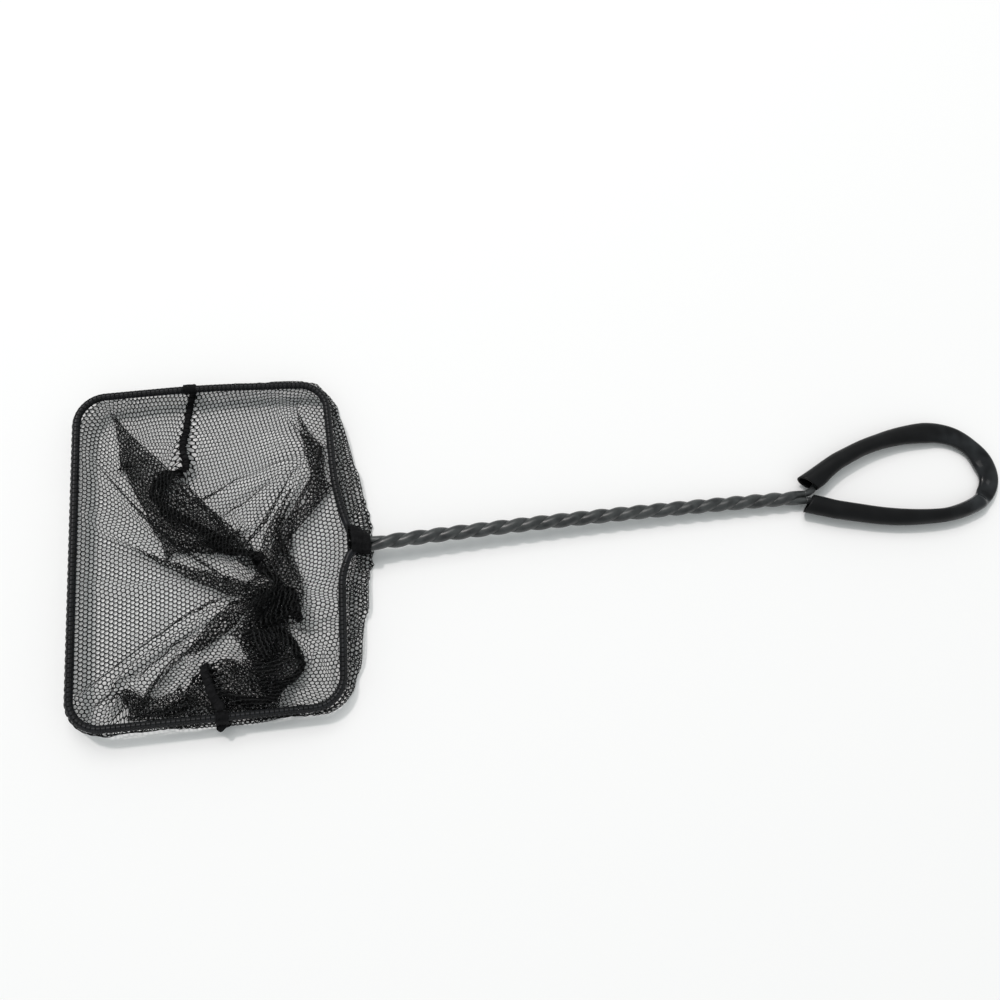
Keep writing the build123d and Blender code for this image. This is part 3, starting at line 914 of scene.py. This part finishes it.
def wall_guide(point, outward):
    """Depth down a panel, and laid place, of the guide of the bag's wall outside a point of the rim."""
    way = np.array((outward[0], outward[1], 0.0))
    spill = 0.0
    if point[0] > HALF_ALONG - SPILL_SIDE_MARGIN:
        way = np.array((1.0, 0.0, 0.0))
        spill = max(0.0, 1 - (point[1] / SPILL_HALF) ** 2)
    strip = STRIP_REACH * (1 + STRIP_SLANT * way[1])
    place = point + way * (strip + (SPILL_REACH - strip) * spill)
    place[2] = SPILL_HEIGHT
    return STRIP_DEPTH + (SPILL_DEPTH - STRIP_DEPTH) * spill, place


def place_guides(indices, pattern, laid, held, kept):
    """Sets the laid places of the guided points, and marks them as held and some as kept to the end."""
    flat = panel_flat()

    def guide(panel, column, depth, place):
        """Guides the point of a panel's column that is nearest to a depth."""
        vertex = indices[panel][column, np.argmin(np.abs(flat[column, :, 1] - depth))]
        laid[vertex] = place
        held[vertex] = True

    seam = np.array([indices[0][cell] for cell in seam_cells()])
    travelled = distances(pattern[seam])
    for distance, *place in SEAM_GUIDES:
        vertex = seam[np.argmin(np.abs(travelled - distance))]
        laid[vertex] = place
        held[vertex] = True
        kept[vertex] = distance < SEAM_FAR_KEPT or distance > SEAM_NEAR_KEPT
    for panel, u, v, *place in PANEL_GUIDES:
        guide(panel, round(u / PANEL_WIDTH * PANEL_COLUMNS), v, place)
    for panel, side in ((0, 1), (1, -1)):
        top = laid[indices[panel][:, 0]]
        outward = side * unit(np.cross(directions(top), UP))
        for column in range(0, PANEL_COLUMNS + 1, STRIP_COLUMN_STEP):
            guide(panel, column, *wall_guide(top[column], outward[column]))


def simulate_bag():
    """Lays the net down: the hoop comes down to its height while the hanging bag folds up on the table.

    Returns the two panels' grids of points, in millimetres of the laid net.
    """
    indices = bag_mesh_indices()
    hanging = np.zeros((indices[1].max() + 1, 3))
    pattern = np.zeros_like(hanging)
    held = np.zeros(len(hanging), bool)
    for index, line in zip(indices, rim_line()):
        hanging[index] = hanging_panel(line)
        pattern[index, :2] = panel_flat()
        held[index[:, 0]] = True
    laid = tipped(hanging)
    kept = held.copy()
    place_guides(indices, pattern, laid, held, kept)

    faces = np.concatenate((grid_faces(indices[0], False), grid_faces(indices[1], True)))
    start = tipped(hanging) + UP * LIFT
    guided_frames = LOWERING_FRAMES + SETTLING_FRAMES
    settled = run_cloth(start, laid, pattern, faces, held, LOWERING_FRAMES, guided_frames)
    loose = run_cloth(settled, settled, pattern, faces, kept, LOOSE_FRAMES, LOOSE_FRAMES)
    return [loose[index] for index in indices]


# Netting
def hex_lattice(width, length):
    """Flat hexagonal netting that covers width by length.

    Returns its knots as flat places, the count of the first kind of knot, where threads start, and its
    threads as start, end and one of three ways: 0 straight, 1 slanting left and 2 slanting right.
    """
    columns = ceil(width / MESH_PITCH) + 2
    rows = ceil(length / MESH_ROW) + 3
    row, column = np.meshgrid(np.arange(rows), np.arange(columns), indexing="ij")
    side = MESH_ROW / 1.5
    centre_u = (column - 0.5 + 0.5 * (row % 2)) * MESH_PITCH
    centre_v = (row - 1.0) * MESH_ROW
    upper = np.stack((centre_u, centre_v + MESH_ROW - side / 2), axis=-1)
    lower = np.stack((centre_u, centre_v - MESH_ROW + side / 2), axis=-1)
    number = np.arange(rows * columns).reshape(rows, columns)
    knots = np.concatenate((upper.reshape(-1, 2), lower.reshape(-1, 2)))
    total = rows * columns
    odd = (np.arange(rows) % 2)[:, None]
    threads = []
    ways = ((2, np.zeros_like(column)), (1, -1 + odd + 0 * column), (1, odd + 0 * column))
    for way, (up_rows, shift) in enumerate(ways):
        target_row = row + up_rows
        target_column = column + shift
        real = (target_row < rows) & (target_column >= 0) & (target_column < columns)
        start = number[real]
        end = total + number[target_row[real], target_column[real]]
        threads.append(np.stack((start, end, np.full(start.shape, way)), axis=-1))
    return knots, total, np.concatenate(threads)


def netting_mesh(width, length, inside, surface, thickness=THREAD_THICKNESS):
    """Vertices and faces of netting laid on a surface.

    inside says which flat places are part of the cut, and surface gives their points and normals.
    Each thread is a four-sided rod, and the rods of a knot share its points.
    """
    knots, upper_count, threads = hex_lattice(width, length)
    kept = inside(knots)
    threads = threads[kept[threads[:, 0]] & kept[threads[:, 1]]]
    used = np.unique(threads[:, :2])
    renumber = np.full(len(knots), -1)
    renumber[used] = np.arange(len(used))
    flat = knots[used]
    upward = np.where(used < upper_count, 1.0, -1.0)
    half = THREAD_WIDTH / 2
    left = flat + np.stack((-half + 0 * upward, upward * half * tan(pi / 6)), axis=-1)
    right = flat + np.stack((half + 0 * upward, upward * half * tan(pi / 6)), axis=-1)
    tail = flat + np.stack((0 * upward, -upward * half / cos(pi / 6)), axis=-1)
    places = np.concatenate((flat, left, right, tail))
    points, normals = surface(places)
    count = len(flat)
    raised = points[:count] + normals[:count] * (thickness / 2)
    sunk = points[:count] - normals[:count] * (thickness / 2)
    verts = np.concatenate((raised, sunk, points[count:]))
    top, bottom, lefts, rights, tails = (np.arange(count) + k * count for k in range(5))
    faces = []
    sides = (
        ((lefts, lefts), (rights, rights)),
        ((lefts, tails), (tails, rights)),
        ((tails, lefts), (rights, tails)),
    )
    for way, (first, second) in enumerate(sides):
        chosen = threads[threads[:, 2] == way]
        a = renumber[chosen[:, 0]]
        b = renumber[chosen[:, 1]]
        for (corner_a, corner_b), order in ((first, 1), (second, -1)):
            over = np.stack((top[a], top[b], corner_b[b], corner_a[a]), axis=-1)
            under = np.stack((bottom[b], bottom[a], corner_a[a], corner_b[b]), axis=-1)
            faces += [over[:, ::order], under[:, ::order]]
    faces += thread_ends(threads, renumber, count, sides, (top, bottom))
    return verts, np.concatenate(faces)


def thread_ends(threads, renumber, count, sides, ridges):
    """Faces that close each knot on the sides where it has no thread."""
    top, bottom = ridges
    faces = []
    for way, (first, second) in enumerate(sides):
        for end in (0, 1):
            has_thread = np.zeros(count, bool)
            has_thread[renumber[threads[threads[:, 2] == way, end]]] = True
            of_kind = np.zeros(count, bool)
            of_kind[renumber[threads[:, end]]] = True
            bare = np.flatnonzero(of_kind & ~has_thread)
            ring = (top[bare], first[end][bare], bottom[bare], second[end][bare])
            faces.append(np.stack(ring, axis=-1)[:, :: 1 if end == 0 else -1])
    return faces


def cubic_weights(t):
    """Weights of four neighbours at a share between the middle two."""
    weights = (
        -0.5 * t + t**2 - 0.5 * t**3,
        1 - 2.5 * t**2 + 1.5 * t**3,
        0.5 * t + 2 * t**2 - 1.5 * t**3,
        -0.5 * t**2 + 0.5 * t**3,
    )
    return np.stack(weights, axis=-1)


def panel_surface(grid):
    """Smooth surface through a panel's grid: a function from flat places to points and normals."""
    along = np.gradient(grid, axis=0)
    down = np.gradient(grid, axis=1)
    grid_normals = unit(np.cross(along, down) + NO_ZERO_NORMAL)

    def surface(places):
        u = np.clip(places[:, 0], 0.0, PANEL_WIDTH)
        v = np.clip(places[:, 1] / cut_depth(u), 0.0, 1.0)
        column = u / PANEL_WIDTH * PANEL_COLUMNS
        row = v * PANEL_ROWS
        first_column = np.clip(np.floor(column).astype(int), 0, PANEL_COLUMNS - 1)
        first_row = np.clip(np.floor(row).astype(int), 0, PANEL_ROWS - 1)
        weight_u = cubic_weights(column - first_column)
        weight_v = cubic_weights(row - first_row)
        points = np.zeros((len(places), 3))
        normals = np.zeros((len(places), 3))
        for i in range(4):
            at_column = np.clip(first_column + i - 1, 0, PANEL_COLUMNS)
            for j in range(4):
                at_row = np.clip(first_row + j - 1, 0, PANEL_ROWS)
                weight = (weight_u[:, i] * weight_v[:, j])[:, None]
                points += weight * grid[at_column, at_row]
                normals += weight * grid_normals[at_column, at_row]
        return points, unit(normals + NO_ZERO_NORMAL)

    return surface


def in_rectangle(width, length):
    """Test of which flat places lie on a straight cut."""
    def inside(places):
        in_width = (places[:, 0] >= 0) & (places[:, 0] <= width)
        return in_width & (places[:, 1] >= 0) & (places[:, 1] <= length)

    return inside


def in_cut(places):
    """Whether flat places lie on a panel."""
    depth = cut_depth(np.clip(places[:, 0], 0, PANEL_WIDTH))
    return in_rectangle(PANEL_WIDTH, depth)(places)


# Hem
class Hem:
    """The hem's course along the hoop and the shape of its folded section."""

    def __init__(self):
        self.line, self.outward = hem_stretch(HEM_STEP)
        self.travelled = distances(self.line)
        self.length = self.travelled[-1]
        spread = np.arccos(HEM_RADIUS / HEM_TAIL_REACH)
        self.first_angle = spread - HEM_TAIL_SLOPE
        self.wrap = 2 * pi - 2 * spread
        self.flank = sqrt(HEM_TAIL_REACH**2 - HEM_RADIUS**2)
        self.girth = 2 * self.flank + self.wrap * HEM_RADIUS

    def section(self, v):
        """Places and normals, outward and upward, at distances round the section from its tail."""
        arc = np.clip(v - self.flank, 0.0, self.wrap * HEM_RADIUS)
        angle = self.first_angle + arc / HEM_RADIUS
        place = np.stack((np.cos(angle), np.sin(angle)), axis=-1)
        before = np.clip(self.flank - v, 0.0, None)[:, None]
        after = np.clip(v - self.girth + self.flank, 0.0, None)[:, None]
        along = np.stack((-np.sin(angle), np.cos(angle)), axis=-1)
        return place * HEM_RADIUS + along * (after - before), place

    def surface(self, places):
        """Points and normals of the hem at places along it and round its section."""
        return self.lifted(places[:, 0], places[:, 1], 0.0)

    def lifted(self, u, v, lift):
        """The same, raised off the netting."""
        centre = along_line(self.line, u)
        outward = [np.interp(u, self.travelled, self.outward[:, k]) for k in range(3)]
        outward = unit(np.stack(outward, axis=-1))
        place, normal = self.section(v)
        place = place + normal * lift
        points = centre + outward * place[:, :1] + UP * place[:, 1:]
        normals = outward * normal[:, :1] + UP * normal[:, 1:]
        return tipped(points), normals @ LIE_TURN.T


hem = Hem()


def hem_netting():
    """Netting folded round the wire."""
    inside = in_rectangle(hem.length, hem.girth)
    return netting_mesh(hem.length, hem.girth, inside, hem.surface, HEM_THREAD_THICKNESS)


def hem_stitches():
    """Row of stitches along the hem's tail, on both its faces."""
    meshes = []
    count = int((hem.length - STITCH_STEP) / STITCH_STEP)
    share = np.linspace(0.0, 1.0, STITCH_POINTS)
    rise = STITCH_RISE * np.sin(pi * share) + STITCH_SEAT
    for k in range(count):
        u = (k + 0.5) * STITCH_STEP + share * STITCH_LENGTH
        for v in (STITCH_FROM_EDGE, hem.girth - STITCH_FROM_EDGE):
            points, _ = hem.lifted(u, np.full(u.shape, v), rise[:, None])
            meshes.append(tube(points, SEWING_THREAD_RADIUS, SEWING_THREAD_SIDES))
    return joined(meshes)


def seam_end_windings():
    """Dense thread wound over the hem at the two ends of the seam."""
    meshes = []
    turns = np.linspace(0.0, SEAM_END_TURNS, SEAM_END_TURNS * SEAM_END_TURN_STEPS)
    for x, side in ((SEAM_FAR_X, 1), (SEAM_NEAR_X, -1)):
        middle = hem.travelled[nearest_on_side(hem.line, x, side)]
        for phase, lift in SEAM_END_LAYERS:
            u = middle + SEAM_END_WIDTH * (turns / SEAM_END_TURNS - 0.5)
            v = ((turns + phase) % 1.0) * hem.girth
            wobble = SEAM_END_WOBBLE * np.sin(turns * 5.0 + phase * 7.0)
            points, _ = hem.lifted(u, v, (lift + wobble)[:, None])
            meshes.append(tube(points, SEAM_END_THREAD_RADIUS, SEWING_THREAD_SIDES))
    return joined(meshes)


# Neck
def gather_point(turn, along, scale):
    """Points and normals of the pleated neck gather, at turns round it and shares of its length."""
    start = np.array((*GATHER_START, 0.0))
    end = np.array((*GATHER_END, 0.0))
    flare = along**GATHER_FLARE
    half_width, half_height = (
        first + (last - first) * flare for first, last in zip(GATHER_START_HALF, GATHER_END_HALF)
    )
    wave = np.cos(GATHER_PLEATS * turn + GATHER_PLEAT_LEAN * along)
    pleat = 1 + GATHER_PLEAT_DEPTH * wave * (GATHER_PLEAT_FADE - along)
    pleat = pleat + GATHER_LUMP_DEPTH * np.cos(GATHER_LUMPS * turn + 2.0)
    centre = start + (end - start) * along[:, None]
    across = np.cos(turn) * half_width * pleat * scale
    upward = np.sin(turn) * half_height * pleat * scale
    points = centre + np.stack((0 * across, across, upward), axis=-1)
    normals = unit(np.stack((0 * turn, np.cos(turn) * half_height, np.sin(turn) * half_width), axis=-1))
    return tipped(points), normals @ LIE_TURN.T


def gather_layer(scale):
    """One layer of pleated netting at the neck, as a share of the outermost one."""
    def surface(places):
        turn = places[:, 0] / GATHER_CUT_WIDTH * 2 * pi + 2 * scale
        return gather_point(turn, np.clip(places[:, 1] / GATHER_CUT_LENGTH, 0, 1), scale)

    inside = in_rectangle(GATHER_CUT_WIDTH, GATHER_CUT_LENGTH)
    return netting_mesh(GATHER_CUT_WIDTH, GATHER_CUT_LENGTH, inside, surface)


def neck_binding():
    """Thread wound round the gather, out to its end and back."""
    turns = np.linspace(0.0, BINDING_TURNS, BINDING_TURNS * BINDING_TURN_STEPS)
    share = turns / BINDING_TURNS
    along = BINDING_START + (BINDING_END - BINDING_START) * share
    meshes = []
    for way, lift in BINDING_LAYERS:
        points, normals = gather_point(2 * pi * way * turns, along, 1.0)
        swell = lift + BINDING_SWELL * np.sin(pi * share) + BINDING_WOBBLE * np.sin(turns * 4.1)
        meshes.append(tube(points + normals * swell[:, None], BINDING_RADIUS, BINDING_SIDES))
    return joined(meshes)


# Seam
def seam_line(grid):
    """Course of the seam over the collapsed bag."""
    points = np.array([grid[cell] for cell in seam_cells()])
    return spaced(smoothed(points, SEAM_SMOOTHING), SEAM_STEP)


def seam_cord(line):
    """Rolled edge of the two panels inside the overlocking: a flat oval rod, a little uneven."""
    side, over = lying_frame(line)
    turns = 2 * pi * np.arange(SEAM_SIDES) / SEAM_SIDES
    travelled = distances(line)
    uneven = 1
    for share, wave in SEAM_UNEVEN:
        uneven = uneven + share * np.sin(travelled * wave)
    uneven = uneven + SEAM_NEAR_SPREAD * np.exp((travelled - travelled[-1]) / SEAM_NEAR_REACH)
    rings = (
        line[:, None, :]
        + side[:, None, :] * (np.cos(turns)[None, :] * SEAM_HALF_WIDTH * uneven[:, None])[:, :, None]
        + over[:, None, :] * (np.sin(turns)[None, :] * SEAM_HALF_HEIGHT * uneven[:, None])[:, :, None]
    )
    return ringed_rod(rings)


def seam_overlock(line):
    """Overlock threads wound round the rolled edge in both directions."""
    wide = SEAM_HALF_WIDTH + OVERLOCK_RISE
    high = SEAM_HALF_HEIGHT + OVERLOCK_RISE
    second_pitch = OVERLOCK_PITCH * OVERLOCK_SECOND_PITCH
    one_way = coil(line, wide, high, OVERLOCK_PITCH)
    other_way = coil(line, -wide - OVERLOCK_SECOND_RISE, high + OVERLOCK_SECOND_RISE, second_pitch)
    return joined((one_way, other_way))


# Twisted handle
def coat_half():
    """Section of one strand with its half of the coat, as places out from the handle's axis and across it.

    Returns it twice, point by point: filled out to the groove, and as the plain round wire.
    """
    angle = np.linspace(-pi / 2, pi / 2, COAT_POINTS)
    radius = COAT_GROOVE_RADIUS + COAT_RISE * np.abs(np.cos(angle)) ** COAT_ROUNDNESS
    outline = np.stack((radius * np.cos(angle) + COAT_SPLIT_GAP, radius * np.sin(angle)), axis=-1)
    split = np.linspace(COAT_GROOVE_RADIUS, -COAT_GROOVE_RADIUS, SPLIT_POINTS)[1:-1]
    filled = np.concatenate((outline, np.stack((np.full(split.shape, COAT_SPLIT_GAP), split), axis=-1)))
    outer_turn = np.linspace(-PLAIN_HALF_TURN, PLAIN_HALF_TURN, COAT_POINTS)
    inner_turn = np.linspace(PLAIN_HALF_TURN, 2 * pi - PLAIN_HALF_TURN, SPLIT_POINTS)[1:-1]
    turn = np.concatenate((outer_turn, inner_turn))
    plain = np.stack((STRAND_RADIUS + WIRE_RADIUS * np.cos(turn), WIRE_RADIUS * np.sin(turn)), axis=-1)
    return filled, plain


def strand_mesh(first_phase):
    """One strand of the twist with its half of the coat."""
    filled, plain = coat_half()
    rings = []
    for distance in np.linspace(0.0, TWIST_LENGTH, ceil(TWIST_LENGTH / STRAND_STEP) + 1):
        fill = eased(min(1.0, distance / COAT_EASE, (TWIST_LENGTH - distance) / COAT_EASE))
        section = plain + (filled - plain) * fill
        phase = first_phase + twist_phase(distance)
        out = TWIST_ACROSS * cos(phase) + UP * sin(phase)
        aside = UP * cos(phase) - TWIST_ACROSS * sin(phase)
        ring = axis_point(distance) + np.outer(section[:, 0], out) + np.outer(section[:, 1], aside)
        rings.append(ring)
    verts, faces = ringed_rod(np.array(rings))
    return tipped(verts), faces


# Sleeve
def sleeve_leg(wire, mouth, join):
    """A leg's wire with its first stretch replaced by the sleeve's own straighter way from its mouth."""
    own = np.array([(x, y, 0.0) for x, y in mouth])
    return np.concatenate((own, wire[distances(wire) >= join]))


def sleeve_course():
    """The sleeve's line over the loop's wire from its upper mouth to its lower one, and its outward way."""
    upper, lower = loop_legs(SLEEVE_STEP)
    upper = sleeve_leg(upper, SLEEVE_UPPER_MOUTH, SLEEVE_UPPER_JOIN)
    lower = sleeve_leg(lower, SLEEVE_LOWER_MOUTH, SLEEVE_LOWER_JOIN)
    line = spaced(np.concatenate((upper, lower[::-1])), SLEEVE_COURSE_STEP)
    line = smoothed(line, SLEEVE_COURSE_SMOOTHING)
    total = distances(line)[-1]
    line = along_line(line, np.linspace(0.0, total, SLEEVE_RINGS + 1))
    tangents = directions(line)
    outward = unit(np.cross(UP, tangents))
    return line, tangents, outward


def sleeve_shell(inset):
    """One wall of the sleeve, set in from its outside: points by ring and by turn."""
    line, tangents, outward = sleeve_course()
    share = np.linspace(0.0, 1.0, SLEEVE_RINGS + 1)
    stations = np.array(SLEEVE_STATIONS)
    measures = [np.interp(share, stations[:, 0], stations[:, k]) for k in (1, 2, 3)]
    inner, outer, height = (smoothed(values, SLEEVE_STATION_SMOOTHING) for values in measures)
    lift = height - SLEEVE_WALL - SLEEVE_SEAT_GAP - WIRE_RADIUS
    turns = 2 * pi * np.arange(SLEEVE_SIDES) / SLEEVE_SIDES
    half = np.where(np.cos(turns)[None, :] > 0, outer[:, None], inner[:, None]) - inset
    across = np.cos(turns)[None, :] * half
    upward = np.sin(turns)[None, :] * (height - inset)[:, None]
    for along, turn, depth, reach, spread in SLEEVE_DENTS:
        near = np.clip(1 - np.abs(share - along) / reach, 0, 1)[:, None]
        facing = np.clip(1 - np.abs(turns - turn) / spread, 0, 1)[None, :]
        dent = depth * eased(near) * eased(facing)
        across = across - dent * np.cos(turns)[None, :]
        upward = upward - dent * np.sin(turns)[None, :]
    upper_end = np.maximum(1 - share * SLEEVE_MOUTH_SHARE, 0)
    lower_end = np.maximum(1 - (1 - share) * SLEEVE_MOUTH_SHARE, 0)
    skew = -across * tan(SLEEVE_MOUTH_TILT) * (upper_end - lower_end)[:, None]
    return (
        line[:, None, :]
        + outward[:, None, :] * across[:, :, None]
        + UP * (upward + lift[:, None])[:, :, None]
        + tangents[:, None, :] * skew[:, :, None]
    )


def sleeve_mesh():
    """Loose vinyl tube over the loop, buckled at the loop's far end and cut slantwise at its mouths."""
    outer = sleeve_shell(0.0)
    inner = sleeve_shell(SLEEVE_WALL)
    number, around, quads = ring_quads(SLEEVE_RINGS + 1, SLEEVE_SIDES)
    shift = number.size
    first = np.stack((number[0], around[0], around[0] + shift, number[0] + shift), axis=-1)
    last = np.stack((around[-1], number[-1], number[-1] + shift, around[-1] + shift), axis=-1)
    faces = np.concatenate((quads[:, ::-1], quads + shift, first[:, ::-1], last[:, ::-1]))
    verts = np.concatenate((outer.reshape(-1, 3), inner.reshape(-1, 3)))
    return tipped(verts), [tuple(f) for f in faces.tolist()]


# Netting bag
bag_grids = simulate_bag()
tip_netting, handle_netting = (
    new_piece(
        name,
        netting_mesh(PANEL_WIDTH, PANEL_DEPTH, in_cut, panel_surface(grid)),
        netting_thread,
        [node],
        "netting",
    )
    for name, node, grid in zip(
        ("bag_tip_netting", "bag_handle_netting"), ("bag_tip_panel", "bag_handle_panel"), bag_grids
    )
)
seam_course = seam_line(bag_grids[0])
gather_mesh = joined([gather_layer(scale) for scale in GATHER_LAYERS])
sewn_pieces = (
    ("bag_seam_edge", seam_cord(seam_course), sewing_thread, ["bag_seam"], "sewing_thread"),
    ("bag_seam_overlock", seam_overlock(seam_course), sewing_thread, [], "sewing_thread"),
    ("hem_netting", hem_netting(), netting_thread, ["mouth_hem"], "netting"),
    ("hem_stitches", hem_stitches(), sewing_thread, ["hem_stitching"], "sewing_thread"),
    ("seam_end_windings", seam_end_windings(), sewing_thread, ["seam_ends"], "sewing_thread"),
    ("neck_gather_netting", gather_mesh, netting_thread, ["neck_gather"], "netting"),
    ("neck_binding", neck_binding(), sewing_thread, [], "sewing_thread"),
)
sewn = [new_piece(*piece) for piece in sewn_pieces]

# Coated wire and sleeve
upper_leg, lower_leg = loop_legs(WIRE_STEP)
for name, node, line, coat in (
    ("hoop", "hoop_wire", hoop_points(WIRE_STEP), shaded_hoop_coat),
    ("loop_leg_upper", "loop_wire_upper", upper_leg, coated_wire),
    ("loop_leg_lower", "loop_wire_lower", lower_leg, coated_wire),
):
    new_piece(name, tube(tipped(line), WIRE_RADIUS, WIRE_SIDES), coat, [node], "coated_wire")
for name, node, phase in (("strand_a", "handle_strand_a", 0.0), ("strand_b", "handle_strand_b", pi)):
    new_piece(name, strand_mesh(phase), coated_wire, [node], "coated_wire")
new_piece("sleeve", sleeve_mesh(), sleeve_vinyl, ["grip_sleeve"], "vinyl_sleeve")

# Stage
bpy.ops.mesh.primitive_plane_add(size=FLOOR_SIZE)
floor = bpy.context.object
floor.name = "floor"
floor.data.materials.append(floor_white)

world = bpy.data.worlds.new("studio")
bpy.context.scene.world = world
world.use_nodes = True
world.node_tree.nodes["Background"].inputs["Color"].default_value = WORLD_COLOUR
world.node_tree.nodes["Background"].inputs["Strength"].default_value = WORLD_STRENGTH


def add_lamp(name, kind, energy, place, aim, colour):
    """The data of a new lamp at a place, turned to an aim."""
    data = bpy.data.lights.new(name, kind)
    data.energy = energy
    data.color = colour
    lamp = bpy.data.objects.new(name, data)
    lamp.location = place
    lamp.rotation_euler = (Vector(aim) - Vector(place)).to_track_quat("-Z", "Y").to_euler()
    bpy.context.scene.collection.objects.link(lamp)
    return data


key = add_lamp("key", "SUN", KEY_ENERGY, KEY_PLACE, KEY_AIM, KEY_COLOUR)
key.angle = KEY_ANGLE
softbox = add_lamp("softbox", "AREA", SOFTBOX_ENERGY, SOFTBOX_PLACE, SOFTBOX_AIM, SOFTBOX_COLOUR)
softbox.size = SOFTBOX_SIZE

camera_data = bpy.data.cameras.new("camera")
camera_data.lens = CAMERA_LENS
camera = bpy.data.objects.new("camera", camera_data)
bpy.context.scene.collection.objects.link(camera)
forward = Vector(LIE_TURN @ np.array(CAMERA_FORWARD))
upward = Vector(LIE_TURN @ np.array(CAMERA_UP))
right = forward.cross(upward).normalized()
turn = Matrix((right, right.cross(forward), -forward)).transposed()
camera.matrix_world = Matrix.Translation(Vector(tipped(CAMERA_PLACE)) * MM) @ turn.to_4x4()
camera_data.clip_start = CAMERA_CLIP_START
bpy.context.scene.camera = camera

bpy.context.scene.view_settings.view_transform = "Standard"
